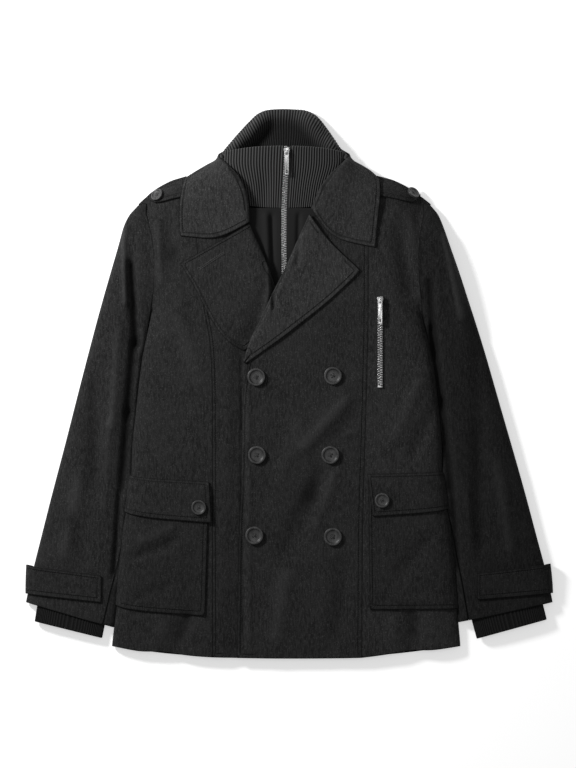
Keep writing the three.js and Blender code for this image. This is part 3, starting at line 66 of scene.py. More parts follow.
def linear(hex_colour):
    """Turns an sRGB hex colour into the linear colour that shaders take."""
    channels = [int(hex_colour[i:i + 2], 16) / 255 for i in (1, 3, 5)]
    return tuple(c / 12.92 if c <= 0.04045 else ((c + 0.055) / 1.055) ** 2.4 for c in channels) + (1,)


# Sizes and colours a user may change


def length(name, description, millimetres):
    return FloatProperty(name=name, description=description, default=millimetres * MM,
                         unit="LENGTH", subtype="DISTANCE", precision=5)


def colour(name, description, hex_colour):
    return FloatVectorProperty(name=name, description=description, default=linear(hex_colour),
                               size=4, subtype="COLOR", min=0, max=1)


class CoatSizes(bpy.types.PropertyGroup):
    stitch_inset: length("Stitch inset", "From a piece's edge in to its topstitching", 5.5)
    stitch_pitch: length("Stitch pitch", "From one topstitch to the next", 3.6)
    thread: length("Thread", "Diameter of the sewing thread", 0.55)
    wall_round: length("Edge rounding", "Radius of the cloth's folded edges", 0.8)
    rib_depth: length("Rib depth", "How far a knitted rib stands out", 1.3)
    tooth_pitch: length("Tooth pitch", "From one zip tooth to the next on its side", 2.7)
    waviness: length("Waviness", "Unevenness of cloth that lies flat", 0.8)
    fold_depth: FloatProperty(name="Fold depth", description="How strongly the folds are drawn",
                              default=2.4, min=0, max=4)
    collar_ribs: IntProperty(name="Collar ribs", description="Ribs round the knitted collar",
                             default=100, min=20, max=200)
    cuff_ribs: IntProperty(name="Cuff ribs", description="Ribs round a storm cuff",
                           default=72, min=20, max=120)


class CoatColours(bpy.types.PropertyGroup):
    wool: colour("Wool", "Ground of the melton", "#2a2a2a")
    wool_dark: colour("Wool shade", "Darker fibres in the melton", "#191919")
    fleck: colour("Fleck", "Pale fibres in the melton", "#5f5f5f")
    bib: colour("Bib", "Smooth cloth of the inner bib", "#1e1e1e")
    knit: colour("Knit", "Rib knit of the collar and cuffs", "#464646")
    thread: colour("Thread", "Topstitching and buttonhole thread", "#171717")
    button: colour("Button", "Horn-like polyester", "#3a3a3a")
    nickel: colour("Nickel", "Zip teeth, sliders and pulls", "#e7e7e7")
    floor: colour("Floor", "Paper under the coat", "#f4f4f4")


def sizes():
    return bpy.context.scene.coat_sizes


def colours():
    return bpy.context.scene.coat_colours


# Materials


def node(tree, kind, inputs=None, **settings):
    """Adds one shader node, sets it up and links or fills its inputs."""
    made = tree.nodes.new(kind)
    for key, value in settings.items():
        setattr(made, key, value)
    for key, value in (inputs or {}).items():
        if isinstance(value, bpy.types.NodeSocket):
            tree.links.new(value, made.inputs[key])
        else:
            made.inputs[key].default_value = value
    return made


def start_material(name):
    """A new material, its empty tree, and the socket that says where a point lies on its piece."""
    material = bpy.data.materials.new(name)
    material.use_nodes = True
    tree = material.node_tree
    tree.nodes.clear()
    return material, tree, node(tree, "ShaderNodeTexCoord").outputs["Object"]


def finish_material(material, inputs, bump=None):
    """Closes a material with its shader; bump is a height, its strength and its depth in mm."""
    tree = material.node_tree
    if bump:
        height, strength, depth = bump
        inputs["Normal"] = node(tree, "ShaderNodeBump", {
            "Height": height, "Strength": strength, "Distance": depth * MM}).outputs[0]
    shader = node(tree, "ShaderNodeBsdfPrincipled", inputs)
    node(tree, "ShaderNodeOutputMaterial", {"Surface": shader.outputs[0]})
    return material


def ramp(tree, factor, low, high):
    """A smooth 0 to 1 as factor goes from low to high."""
    made = node(tree, "ShaderNodeMapRange", {"Value": factor, "From Min": low, "From Max": high},
                interpolation_type="SMOOTHSTEP", clamp=True)
    return made.outputs["Result"]


def mixed(tree, factor, first, second):
    made = node(tree, "ShaderNodeMix", {0: factor, 6: first, 7: second}, data_type="RGBA")
    return made.outputs[2]


def maths(tree, operation, *values):
    return node(tree, "ShaderNodeMath", dict(enumerate(values)), operation=operation).outputs[0]


def multiplied(tree, value, by):
    return maths(tree, "MULTIPLY", value, by)


def tinted(tree, ground, factor, share, tint):
    """The ground with a tint mixed in, up to the given share where the factor is 1."""
    return mixed(tree, multiplied(tree, factor, share), ground, tint)


def attribute_of(tree, name):
    return node(tree, "ShaderNodeAttribute", attribute_name=name).outputs["Fac"]


def noise_of(tree, vector, size_mm, detail=2.0, stretch=(1, 1, 1)):
    """Noise whose grains are about size_mm across, stretched along the given axes."""
    mapping = node(tree, "ShaderNodeMapping", {"Vector": vector, "Scale": stretch})
    made = node(tree, "ShaderNodeTexNoise",
                {"Vector": mapping.outputs[0], "Scale": 1 / (size_mm * MM), "Detail": detail})
    return made.outputs["Fac"]


FLECK_MM = 1.4               # pale fibres, drawn as coarse as the render shows them
NAP_MM = 1.3
TWILL_MM = 2.2               # the faint upright weave under the nap
CLOUD_MM = 46                # patches of a slightly different depth of dye
PAINTED_HOLLOW = linear("#0b0b0b")   # painted shade under a row of stitches, and between two ribs
PAINTED_SHADE = linear("#070707")    # painted shade at the bottom of a seam or a crease


def wool_melton():
    """Fulled and brushed wool: matt, soft-edged, with pale fibres and a faint upright weave."""
    material, tree, where = start_material("wool_melton")
    wool, fleck = tuple(colours().wool), tuple(colours().fleck)
    nap = noise_of(tree, where, NAP_MM, 3)
    cloudy = noise_of(tree, where, CLOUD_MM, 3)
    weave = noise_of(tree, where, TWILL_MM, 2, (1, 0.22, 1))
    flecks = ramp(tree, noise_of(tree, where, FLECK_MM, 5, (1, 0.6, 1)), 0.54, 0.7)
    ground = mixed(tree, ramp(tree, weave, 0.32, 0.68), tuple(colours().wool_dark), wool)
    ground = tinted(tree, ground, ramp(tree, cloudy, 0.35, 0.7), 0.4, wool)
    ground = tinted(tree, ground, flecks, 0.25, fleck)
    # painted light and shade: each piece's wool is scaled paler or darker by its own factor
    ground = node(tree, "ShaderNodeVectorMath", {0: ground, "Scale": attribute_of(tree, "painted_piece_light")},
                  operation="SCALE").outputs["Vector"]
    gap, seam = attribute_of(tree, "edge_gap"), attribute_of(tree, "seam_gap")
    off_line = maths(tree, "ABSOLUTE", maths(tree, "SUBTRACT", gap, sizes().stitch_inset))
    groove = ramp(tree, off_line, 1.7 * MM, 0.2 * MM)
    # past the end of a stitched edge the gap to it grows beyond the gap to the seam: no groove there
    past_end = maths(tree, "SUBTRACT", gap, seam)
    groove = multiplied(tree, groove, ramp(tree, past_end, 0.9 * MM, 0.2 * MM))
    # painted shade in the dent along each row of stitches
    ground = tinted(tree, ground, groove, 0.5, PAINTED_HOLLOW)
    # painted shade: a dark line along every seam and edge of a piece, where the parts meet
    ground = tinted(tree, ground, ramp(tree, seam, 1.5 * MM, 0.3 * MM), 0.8, PAINTED_SHADE)
    # painted shade in a crease, where little light gets down, and a painted highlight on a ridge,
    # where the nap catches it
    fold = attribute_of(tree, "fold_height")
    ground = tinted(tree, ground, ramp(tree, fold, -1 * MM, -8 * MM), 0.72, PAINTED_SHADE)
    ground = tinted(tree, ground, ramp(tree, fold, 0.6 * MM, 5 * MM), 0.16, fleck)
    height = maths(tree, "ADD", multiplied(tree, nap, 0.45), multiplied(tree, weave, 0.3))
    height = maths(tree, "ADD", height, multiplied(tree, groove, -1.8))
    return finish_material(material, {
        "Base Color": ground, "Roughness": 0.95, "Specular IOR Level": 0.08,
        "Sheen Weight": 0.07, "Sheen Roughness": 0.6, "Sheen Tint": linear("#9c9c9c")},
        bump=(height, 0.8, 0.8))


def smooth_cloth():
    """Close plain-woven cloth of the bib: matt, even and darker than the wool."""
    material, tree, where = start_material("smooth_bib_cloth")
    bib = tuple(colours().bib)
    threads = noise_of(tree, where, 1.1, 2, (1, 0.2, 1))
    ground = mixed(tree, ramp(tree, threads, 0.3, 0.75), linear("#1c1c1c"), bib)
    ground = tinted(tree, ground, noise_of(tree, where, 30, 2), 0.4, bib)
    return finish_material(material, {
        "Base Color": ground, "Roughness": 0.85, "Specular IOR Level": 0.12,
        "Sheen Weight": 0.05, "Sheen Roughness": 0.5}, bump=(threads, 0.35, 0.3))


def rib_knit():
    """Worsted knit: the ribs are in the mesh, with painted shade in their valleys, and the fibres are
    bump.
    """
    material, tree, where = start_material("worsted_rib_knit")
    fibres = noise_of(tree, where, 0.9, 3)
    # painted shade in the valleys between the ribs and in the collar's hollow
    ground = mixed(tree, ramp(tree, attribute_of(tree, "rib_height_and_shade"), 0.1, 0.9), PAINTED_HOLLOW,
                   tuple(colours().knit))
    ground = tinted(tree, ground, ramp(tree, fibres, 0.55, 0.8), 0.35, linear("#595959"))
    return finish_material(material, {
        "Base Color": ground, "Roughness": 0.9, "Specular IOR Level": 0.12,
        "Sheen Weight": 0.1, "Sheen Roughness": 0.5}, bump=(fibres, 0.6, 0.4))


def sewing_thread():
    """Spun polyester thread: fine, dark and slightly lustrous."""
    material, tree, where = start_material("spun_polyester_thread")
    twist = noise_of(tree, where, 0.5, 1)
    ground = mixed(tree, twist, tuple(colours().thread), linear("#343434"))
    return finish_material(material, {"Base Color": ground, "Roughness": 0.6})


def horn_polyester():
    """Cast and polished polyester with the cloudy streaks of horn."""
    material, tree, where = start_material("horn_like_polyester")
    streaks = noise_of(tree, where, 7, 3, (1, 0.5, 1))
    ground = mixed(tree, ramp(tree, streaks, 0.35, 0.7), linear("#202020"), tuple(colours().button))
    scuffs = ramp(tree, noise_of(tree, where, 1.2, 2), 0.3, 0.8)
    roughness = maths(tree, "ADD", multiplied(tree, scuffs, 0.12), 0.4)
    return finish_material(material, {
        "Base Color": ground, "Roughness": roughness, "IOR": 1.5, "Coat Weight": 0.1,
        "Coat Roughness": 0.3})


def nickel_plate():
    """Bright nickel plate on die-cast zinc, dulled a little by handling."""
    material, tree, where = start_material("nickel_plate")
    handled = ramp(tree, noise_of(tree, where, 1.5, 3), 0.3, 0.75)
    ground = tinted(tree, tuple(colours().nickel), handled, 0.5, linear("#b9b9b9"))
    roughness = maths(tree, "ADD", multiplied(tree, handled, 0.16), 0.24)
    return finish_material(material, {
        "Base Color": ground, "Metallic": 1.0, "Roughness": roughness})


def zip_tape():
    """Woven polyester tape, with its threads across the chain."""
    material, tree, where = start_material("woven_zip_tape")
    threads = noise_of(tree, where, 0.8, 1, (0.3, 1, 1))
    ground = mixed(tree, threads, linear("#0f0f0f"), linear("#2b2b2b"))
    return finish_material(material, {"Base Color": ground, "Roughness": 0.85})


def paper():
    """Matt white paper, lit a little from below as a product sweep is."""
    material, tree, where = start_material("white_paper_sweep")
    grain = noise_of(tree, where, 3, 2)
    ground = tinted(tree, tuple(colours().floor), grain, 0.2, linear("#ececec"))
    return finish_material(material, {
        "Base Color": ground, "Roughness": 0.95, "Specular IOR Level": 0.0,
        "Emission Color": (1, 1, 1, 1), "Emission Strength": 0.5})


MATERIALS = {}


def material_of(maker):
    """The material that a maker function gives, made once."""
    if maker not in MATERIALS:
        MATERIALS[maker] = maker()
    return MATERIALS[maker]


# Working on one object


def alone(obj):
    """Selects one object only and makes it active."""
    bpy.ops.object.select_all(action="DESELECT")
    obj.select_set(True)
    bpy.context.view_layer.objects.active = obj


def use_modifier(obj, kind, **settings):
    """Adds a modifier and applies it."""
    alone(obj)
    modifier = obj.modifiers.new(kind.title(), kind)
    for key, value in settings.items():
        setattr(modifier, key, value)
    bpy.ops.object.modifier_apply(modifier=modifier.name)


def points_of(mesh):
    co = np.empty(len(mesh.vertices) * 3)
    mesh.vertices.foreach_get("co", co)
    return co.reshape(-1, 3)


def set_points(mesh, points):
    mesh.vertices.foreach_set("co", points.astype(np.float32).ravel())
    mesh.update()


def linked(name, data):
    """A new object in the scene."""
    obj = bpy.data.objects.new(name, data)
    bpy.context.scene.collection.objects.link(obj)
    return obj


def new_object(name, points, faces):
    mesh = bpy.data.meshes.new(name)
    mesh.from_pydata([tuple(p) for p in points], [], faces)
    mesh.update()
    return linked(name, mesh)


def write_attribute(obj, name, values):
    attribute = obj.data.attributes.new(name, "FLOAT", "POINT")
    attribute.data.foreach_set("value", values.astype(np.float32).ravel())


def edit_all(obj):
    """Opens an object in Edit mode with all of it selected."""
    alone(obj)
    bpy.ops.object.mode_set(mode="EDIT")
    bpy.ops.mesh.select_all(action="SELECT")


def edit_copy(node_name, ending):
    """A copy of a node's mesh, its doubles merged, left open in Edit mode."""
    obj = linked(f"{node_name}_{ending}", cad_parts[node_name].data.copy())
    alone(obj)
    bpy.ops.mesh.customdata_custom_splitnormals_clear()
    edit_all(obj)
    bpy.ops.mesh.remove_doubles(threshold=0.004 * MM)
    return obj


def outward(obj):
    """Makes the normals of a closed mesh point out."""
    edit_all(obj)
    bpy.ops.mesh.normals_make_consistent(inside=False)
    bpy.ops.object.mode_set(mode="OBJECT")


def tree_of(points):
    """A search tree over points."""
    tree = KDTree(len(points))
    for i, point in enumerate(points):
        tree.insert(point, i)
    tree.balance()
    return tree


def dress(obj, maker, smooth_degrees):
    """Gives a piece its one material and smooth shading."""
    obj.data.materials.clear()
    obj.data.materials.append(material_of(maker))
    alone(obj)
    bpy.ops.object.shade_smooth_by_angle(angle=math.radians(smooth_degrees))


def seat(obj, maker, smooth_degrees=60, body=COAT, node_name=None):
    dress(obj, maker, smooth_degrees)
    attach(obj, body)
    if node_name:
        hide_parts(node_name)
    return obj


def smoothstep(low, high, value):
    t = np.clip((value - low) / (high - low), 0, 1)
    return t * t * (3 - 2 * t)


# Folds of the cloth: x and y of both ends, the width and the depth in
# millimetres (a trough's depth is negative), and the lean of its crest to one side
FOLDS = [
    (86, -28, 26, -92, 15, 1.6, 0.25), (96, -52, 52, -104, 12, -1.2, 0.0),
    (62, -118, 36, -176, 13, -1.5, -0.3), (34, -176, -6, -262, 16, -1.3, -0.3),
    (68, -140, 42, -214, 12, 1.4, 0.2), (10, -66, -12, -140, 14, 1.0, 0.0),
    (-8, -300, -24, -418, 16, 1.3, 0.0), (-74, 36, -72, -414, 3.4, -1.1, 0.0),
    (-64, 30, -62, -410, 5, 0.8, 0.0), (88, -286, 70, -412, 15, -1.2, 0.0),
    (-193, 268, -184, 206, 12, -1.2, -0.2), (-182, 200, -150, 110, 13, -0.9, 0.0),
    (-205, 250, -202, 160, 8, 1.1, 0.0), (-168, 90, -146, 10, 18, 1.0, 0.0),
    (-244, -272, -184, -248, 8, -1.5, 0.3), (-236, -332, -188, -318, 7, -1.2, 0.3),
    (-232, -244, -188, -226, 9, 0.9, 0.0), (-158, -365, -178, -422, 12, -2.0, 0.2),
    (-196, -372, -206, -420, 12, 1.0, 0.0), (196, -368, 196, -422, 13, -1.8, 0.0),
    (160, -372, 164, -424, 12, 0.9, 0.0), (214, -248, 176, -292, 12, -1.2, 0.0),
    (204, 6, 168, -74, 14, 1.2, 0.2), (224, -46, 196, -104, 10, -1.2, 0.0),
    (172, 232, 186, 150, 13, -1.5, 0.0), (190, 262, 196, 196, 9, 1.0, 0.0),
    (-260, 258, -257, 130, 6.5, 1.8, 0.2), (-247, 186, -240, 66, 6.5, -3.0, 0.0),
    (-243, 62, -253, -44, 7, -3.3, 0.0), (-253, -48, -262, -158, 7, -3.0, 0.0),
    (-266, -176, -274, -296, 5, -2.4, 0.0), (-268, 84, -278, -60, 8, 1.2, 0.0),
    (224, 84, 239, -23, 7, -2.8, 0.0), (240, -30, 254, -160, 6.5, -2.8, 0.0),
    (257, -176, 266, -290, 5, -2.2, 0.0), (-306, 4, -308, -146, 15, -1.7, 0.2),
    (-330, -150, -352, -262, 13, 1.3, 0.0), (-282, -62, -292, -190, 9, 1.1, 0.0),
    (-340, -216, -322, -268, 11, -1.2, 0.0), (246, 232, 270, 110, 8, 1.8, -0.2),
    (222, 160, 228, 50, 6, -2.4, 0.0), (292, 70, 296, -60, 13, -1.3, 0.0),
    (294, -88, 298, -244, 14, -1.9, 0.2), (326, -130, 346, -256, 12, 1.2, 0.0),
    (278, -170, 288, -262, 8, 1.0, 0.0), (-36, 262, -30, 120, 5, 1.4, 0.0),
    (-27, 262, -24, 120, 4, -1.6, 0.0), (15, 262, 13, 190, 4, -1.5, 0.0),
]
FOLD_END = 1.4               # how far a fold runs out past its ends, in its own widths
BUTTON_CALM_MM = 17          # the cloth stays flat this near to a button
ZIP_CALM_MM = 14             # and comes up to its full folds this far from a zip
HEM_CALM = (-424, -385)      # between these heights the folds fade towards the hem
FLOOR_CALM = (3, 9)          # cloth this low, by the floor, has none


def fold_heights(points):
    """Height of all the folds and of the cloth's slight waviness at each point, in metres."""
    x, y, z = (points / MM).T
    height = np.zeros(len(points))
    for x0, y0, x1, y1, width, depth, lean in FOLDS:
        dx, dy = x1 - x0, y1 - y0
        run = math.hypot(dx, dy)
        along = ((x - x0) * dx + (y - y0) * dy) / run
        beyond = np.maximum(np.maximum(-along, along - run), 0)
        side = ((x - x0) * dy - (y - y0) * dx) / run / width
        side = side + lean * side * np.exp(-side ** 2)
        height += depth * sizes().fold_depth * np.exp(-side ** 2 - (beyond / (FOLD_END * width)) ** 2)
    wave = np.array([
        noise.noise(Vector((a / 74, b / 96, 0.4))) + 0.45 * noise.noise(Vector((a / 27, b / 33, 7.1)))
        for a, b in zip(x, y)])
    height += wave * sizes().waviness / MM
    for centre, _ in button_places().values():
        away = np.hypot(x - centre.x / MM, y - centre.y / MM)
        height *= smoothstep(BUTTON_CALM_MM * 0.7, BUTTON_CALM_MM * 1.7, away)
    for name in ("chest_zip", "chest_pull", "neck_zip", "neck_pull"):
        low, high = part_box(name)
        reach_x = np.maximum(low.x / MM - x, x - high.x / MM)
        reach_y = np.maximum(low.y / MM - y, y - high.y / MM)
        height *= smoothstep(0, ZIP_CALM_MM, np.maximum(reach_x, reach_y))
    height *= 0.35 + 0.65 * smoothstep(*HEM_CALM, y)
    return height * smoothstep(*FLOOR_CALM, z) * MM


# Each button's diameter in millimetres
BUTTONS = {
    "button_r1": 28, "button_r2": 28, "button_r3": 28, "button_l1": 28, "button_l2": 28,
    "button_l3": 28, "flap_button_r": 23, "flap_button_l": 23,
    "epaulette_button_r": 20, "epaulette_button_l": 20,
}


def button_places():
    """Each button's lowest middle point and the way it faces, from its node."""
    if "places" not in PLACES:
        places = {}
        for name in BUTTONS:
            points = points_of(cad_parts[name].data)
            centre = points.mean(0)
            axis = np.linalg.svd(points - centre, full_matrices=False)[2][2]
            axis = Vector(axis * math.copysign(1, axis[2]))
            along = (points - centre) @ np.array(axis)
            places[name] = (Vector(centre) + axis * along.min(), axis)
        PLACES["places"] = places
    return PLACES["places"]


# Cloth pieces: each a copy of its node, smoothed, folded and rounded at its edges

# Where a piece's edges are topstitched, by x and y in millimetres
STITCHED = {
    "centre_front_l": lambda x, y: (x < -58 and y < 42) or (x > 112 and y < 250),
    "centre_front_r": lambda x, y: x < -108 and y < 130,
    "lapel_r": lambda x, y: x < -18 and not (x > -64 and y > 190),
    "lapel_l": lambda x, y: not (y > 178 and x < 92) or y > 240,
    "collar": lambda x, y: (x <= -66 or x > 40) and y < 340,
    "pocket_r": lambda x, y: x > -262 and y < -190,
    "pocket_l": lambda x, y: x < 258 and y < -180,
    "flap_r": lambda x, y: x > -262,
    "flap_l": lambda x, y: x < 258,
    "epaulette_r": lambda x, y: x > -225,
    "epaulette_l": lambda x, y: x < 220,
    "cuff_strap_r": lambda x, y: x > -408,
    "cuff_strap_l": lambda x, y: x < 406,
}
# Painted light and shade: how much paler or darker each piece's wool is drawn than the back's, for
# how the light falls on it
PIECE_LIGHT_PAINT = {
    "collar": 1.55, "lapel_l": 1.62, "lapel_r": 1.12, "side_front_l": 1.2, "centre_front_l": 1.05,
    "pocket_r": 0.9, "flap_r": 0.95, "top_sleeve_l": 0.65, "under_sleeve_l": 0.65,
    "cuff_strap_l": 0.75,
}
BORDERS = {}                 # each cloth piece's stitched edges
RIM_DEGREES = 55             # how sharply the wall turns at its rim


def cloth_copy(node_name, levels):
    """A smooth copy of a node's wall: faces joined to quads, rims kept sharp."""
    obj = edit_copy(node_name, "cloth")
    bpy.ops.mesh.tris_convert_to_quads(
        face_threshold=math.radians(55), shape_threshold=math.radians(120))
    bpy.ops.mesh.select_all(action="DESELECT")
    bpy.ops.mesh.select_mode(type="EDGE")
    bpy.ops.mesh.edges_select_sharp(sharpness=math.radians(60))
    bm = bmesh.from_edit_mesh(obj.data)
    # the upright edges at the corners of the wall stay sharp too
    for edge in bm.edges:
        run = edge.verts[1].co - edge.verts[0].co
        if abs(run.z) > 0.6 * run.length and edge.calc_face_angle(0) > math.radians(26):
            edge.select = True
    bmesh.update_edit_mesh(obj.data)
    bpy.ops.transform.edge_crease(value=1.0)
    bpy.ops.object.mode_set(mode="OBJECT")
    use_modifier(obj, "SUBSURF", levels=levels, render_levels=levels)
    return obj


def rim_lines(obj, keep):
    """Chains of points along the upper rim of a wall, each with the way in from the edge."""
    bm = bmesh.new()
    bm.from_mesh(obj.data)
    bm.normal_update()
    steps = {}
    for edge in bm.edges:
        if len(edge.link_faces) != 2 or edge.calc_face_angle(0) < math.radians(RIM_DEGREES):
            continue
        face = max(edge.link_faces, key=lambda f: f.normal.z)
        middle = (edge.verts[0].co + edge.verts[1].co) / 2
        if face.normal.z < 0.35 or not keep(middle.x / MM, middle.y / MM):
            continue
        run = (edge.verts[1].co - edge.verts[0].co).normalized()
        inward = face.calc_center_median() - middle
        inward = (inward - run * inward.dot(run)).normalized()
        for a, b in (edge.verts, reversed(edge.verts)):
            steps.setdefault(a.index, []).append((b.index, inward.copy()))
    places = {v.index: v.co.copy() for v in bm.verts if v.index in steps}
    bm.free()
    chains, seen = [], set()
    starts = sorted(steps, key=lambda i: (len(steps[i]) != 1, i))
    for start in starts:
        if start in seen:
            continue
        chain, at = [], start
        while at is not None and at not in seen:
            seen.add(at)
            inward = sum((way for _, way in steps[at]), Vector()).normalized()
            chain.append((places[at], inward))
            at = next((i for i, _ in steps[at] if i not in seen), None)
        if len(chain) > 2:
            chains.append(chain)
    return chains


DOT_MM = 0.8                 # how closely an edge is followed when gaps to it are measured
FAR_MM = 30                  # a gap wider than this is written as this


def mark_gap(obj, attribute_name, chains):
    """Writes how far each point lies from the given edges, for the stitch grooves and the painted
    shade along seams and edges.
    """
    dots = []
    for chain in chains:
        for (a, _), (b, _) in zip(chain, chain[1:]):
            count = max(1, int((b - a).length / (DOT_MM * MM)))
            dots += [a.lerp(b, i / count) for i in range(count)]
        dots.append(chain[-1][0])
    far = FAR_MM * MM
    gaps = np.full(len(obj.data.vertices), far)
    if dots:
        tree = tree_of(dots)
        for vertex in obj.data.vertices:
            if vertex.normal.z > -0.2:
                gaps[vertex.index] = min(far, tree.find(vertex.co)[2])
    write_attribute(obj, attribute_name, gaps)


def side_edge(names, y, sign):
    """How far out to one side the named nodes reach at a height y up the coat."""
    reach = -1.0
    for name in names:
        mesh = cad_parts[name].data
        co = points_of(mesh)
        edges = np.empty(len(mesh.edges) * 2, dtype=np.int32)
        mesh.edges.foreach_get("vertices", edges)
        a, b = co[edges[0::2]], co[edges[1::2]]
        crossing = (a[:, 1] - y) * (b[:, 1] - y) < 0
        a, b = a[crossing], b[crossing]
        if len(a):
            t = (y - a[:, 1]) / (b[:, 1] - a[:, 1])
            reach = max(reach, float((sign * (a[:, 0] + (b[:, 0] - a[:, 0]) * t)).max()))
    return reach


SLEEVE_EASE_MM = 45          # how far into the sleeve its inner edge's move reaches
TOUCH_MM = -1.6              # the sleeve presses this far into the body's side


def sleeve_shift(letter, points):
    """Moves the inner edge of a sleeve up against the body's side, as the photo shows it."""
    side = SIDES[letter]
    if letter not in PLACES:
        heights = np.arange(-380, 285, 8) * MM
        body_reach = np.array([side_edge([f"side_front_{letter}"], y, side) for y in heights])
        # the least of each three neighbours, so that no height reaches out past the next
        near = np.minimum(body_reach[2:], body_reach[:-2])
        body_reach[1:-1] = np.minimum(body_reach[1:-1], near)
        sleeve = (f"top_sleeve_{letter}", f"under_sleeve_{letter}")
        sleeve_reach = np.array([-side_edge(sleeve, y, -side) for y in heights])
        held = (sleeve_reach < 0.9) & (body_reach > 0)
        PLACES[letter] = heights[held], body_reach[held], sleeve_reach[held]
    heights, body_reach, sleeve_reach = PLACES[letter]
    gap = np.interp(points[:, 1], heights, sleeve_reach - body_reach) - TOUCH_MM * MM
    inner = np.interp(points[:, 1], heights, sleeve_reach)
    depth = (side * points[:, 0] - inner) / (SLEEVE_EASE_MM * MM)
    return -side * np.clip(gap, 0, None) * (1 - smoothstep(0, 1, depth))


HEAD_INNER_MM = {"r": 226, "l": 214}     # how far out each sleeve head's inner corner lies
HEAD_LIFT_MM = 5.5           # how far that corner is raised up to the shoulder's tip
HEAD_CLOSE_MM = 5            # and how far it laps on to the shoulder, so no gap shows behind it
SEAM_CLOSE_MM = 0.7          # how far a centre front runs in under its princess seam


def move_head(letter, points):
    """Moves the inner corner of a sleeve's head."""
    side, inner = SIDES[letter], HEAD_INNER_MM[letter] * MM
    near = 1 - smoothstep(2 * MM, 34 * MM, side * points[:, 0] - inner)
    points[:, 0] -= side * HEAD_CLOSE_MM * MM * smoothstep(0.262, 0.281, points[:, 1]) * near
    near = 1 - smoothstep(0, 24 * MM, side * points[:, 0] - inner)
    points[:, 1] += HEAD_LIFT_MM * MM * smoothstep(0.245, 0.283, points[:, 1]) * near


def seam_shift(node_name, points):
    """Runs a centre front's outer edge up against the side front's."""
    side = SIDES[node_name[-1]]
    heights = np.arange(points[:, 1].min(), points[:, 1].max(), 12 * MM)
    reach = np.array([side_edge((node_name,), y, side) for y in heights])
    held = reach > -0.9
    edge = np.interp(points[:, 1], heights[held], reach[held])
    return side * SEAM_CLOSE_MM * MM * (1 - smoothstep(0, 14 * MM, edge - side * points[:, 0]))


LAPEL_TIP = (-168, 188)      # the right lapel's point
LAPEL_END = (-50.6, 90.5)    # the lower end of its edge as the node has it
LAPEL_PULL = (-23, -38)      # how far that end runs on, down to the overlap's corner


def lapel_pull(points):
    """Straightens the right lapel's outer edge by drawing its lower end down."""
    x, y, _ = (points / MM).T
    dx, dy = LAPEL_END[0] - LAPEL_TIP[0], LAPEL_END[1] - LAPEL_TIP[1]
    run = math.hypot(dx, dy)
    along = ((x - LAPEL_TIP[0]) * dx + (y - LAPEL_TIP[1]) * dy) / run
    inward = ((x - LAPEL_TIP[0]) * -dy + (y - LAPEL_TIP[1]) * dx) / run
    weight = smoothstep(0.0, 1.05, along / run) * (1 - smoothstep(4, 60, inward))
    return weight[:, None] * np.array((*LAPEL_PULL, 0)) * MM


def epaulette_shift(letter, points):
    """Runs the epaulette's inner end 9 mm on under the collar."""
    out = SIDES[letter] * points[:, 0]
    return -SIDES[letter] * 9 * MM * (1 - smoothstep(0, 22 * MM, out - out.min()))


LAPEL_SINK_MM = 3.4          # how far the left lapel's lowest corner sinks into the overlap


def cloth_piece(node_name):
    """Makes one cloth piece from its node: moved where it needs to be, folded and dressed."""
    obj = cloth_copy(node_name, 2 if node_name.startswith("under_sleeve") else 3)
    points = points_of(obj.data)
    letter = node_name[-1]
    if "sleeve" in node_name:
        points[:, 0] += sleeve_shift(letter, points)
        move_head(letter, points)
    if node_name.startswith("centre_front"):
        points[:, 0] += seam_shift(node_name, points)
    if node_name.startswith("epaulette"):
        points[:, 0] += epaulette_shift(letter, points)
    folds = fold_heights(points)
    points[:, 2] = np.maximum(points[:, 2] + folds, 0)
    if node_name == "lapel_r":
        points += lapel_pull(points)
    if node_name == "lapel_l":
        points[:, 2] -= LAPEL_SINK_MM * MM * (1 - smoothstep(46 * MM, 80 * MM, points[:, 1]))
    set_points(obj.data, points)
    write_attribute(obj, "fold_height", folds)
    write_attribute(obj, "painted_piece_light", np.full(len(points), PIECE_LIGHT_PAINT.get(node_name, 1.0)))
    chains = rim_lines(obj, STITCHED[node_name]) if node_name in STITCHED else []
    BORDERS[node_name] = chains
    mark_gap(obj, "edge_gap", chains)
    mark_gap(obj, "seam_gap", rim_lines(obj, lambda x, y: True))
    use_modifier(obj, "BEVEL", width=sizes().wall_round, segments=2, limit_method="ANGLE",
                 angle_limit=math.radians(RIM_DEGREES), use_clamp_overlap=True)
    slot, maker = ("bib_cloth", smooth_cloth) if "bib" in node_name else ("wool", wool_melton)
    seat(obj, maker, 50, COAT, node_name)


# Knitted tubes

KNIT_MIDDLE = -6
# Rows of the collar from the neck up: half its width, y at the front, side and back, heights in
# front, behind and at the sides, how squarely the front turns, and how soon the back drops
KNIT_KEYS = ("half", "front", "side", "back", "high", "low", "mid", "flat", "drop")
KNIT_ROWS = [dict(zip(KNIT_KEYS, row)) for row in (
    (66, 276.3, 300, 338, 20.6, 3.8, 10, 0.3, 3),
    (77, 306, 324, 368, 28, 4.1, 12, 0.45, 4),
    (93, 342, 345, 399, 36, 1.8, 14, 0.62, 4),
    (97.5, 371, 359, 430, 41, 4.0, 19, 1.3, 1.2),
)]
# The slumped back of the rim, from one side round to the other: across and back, as shares
KNIT_RIM = [
    (1.0, 0.0), (0.89, 0.15), (0.79, 0.36), (0.69, 0.57), (0.585, 0.765), (0.49, 0.885), (0.37, 0.96),
    (0.24, 0.985), (0.02, 1.0), (-0.22, 0.985), (-0.39, 0.91), (-0.54, 0.735), (-0.705, 0.49),
    (-0.866, 0.225), (-1.0, 0.0),
]
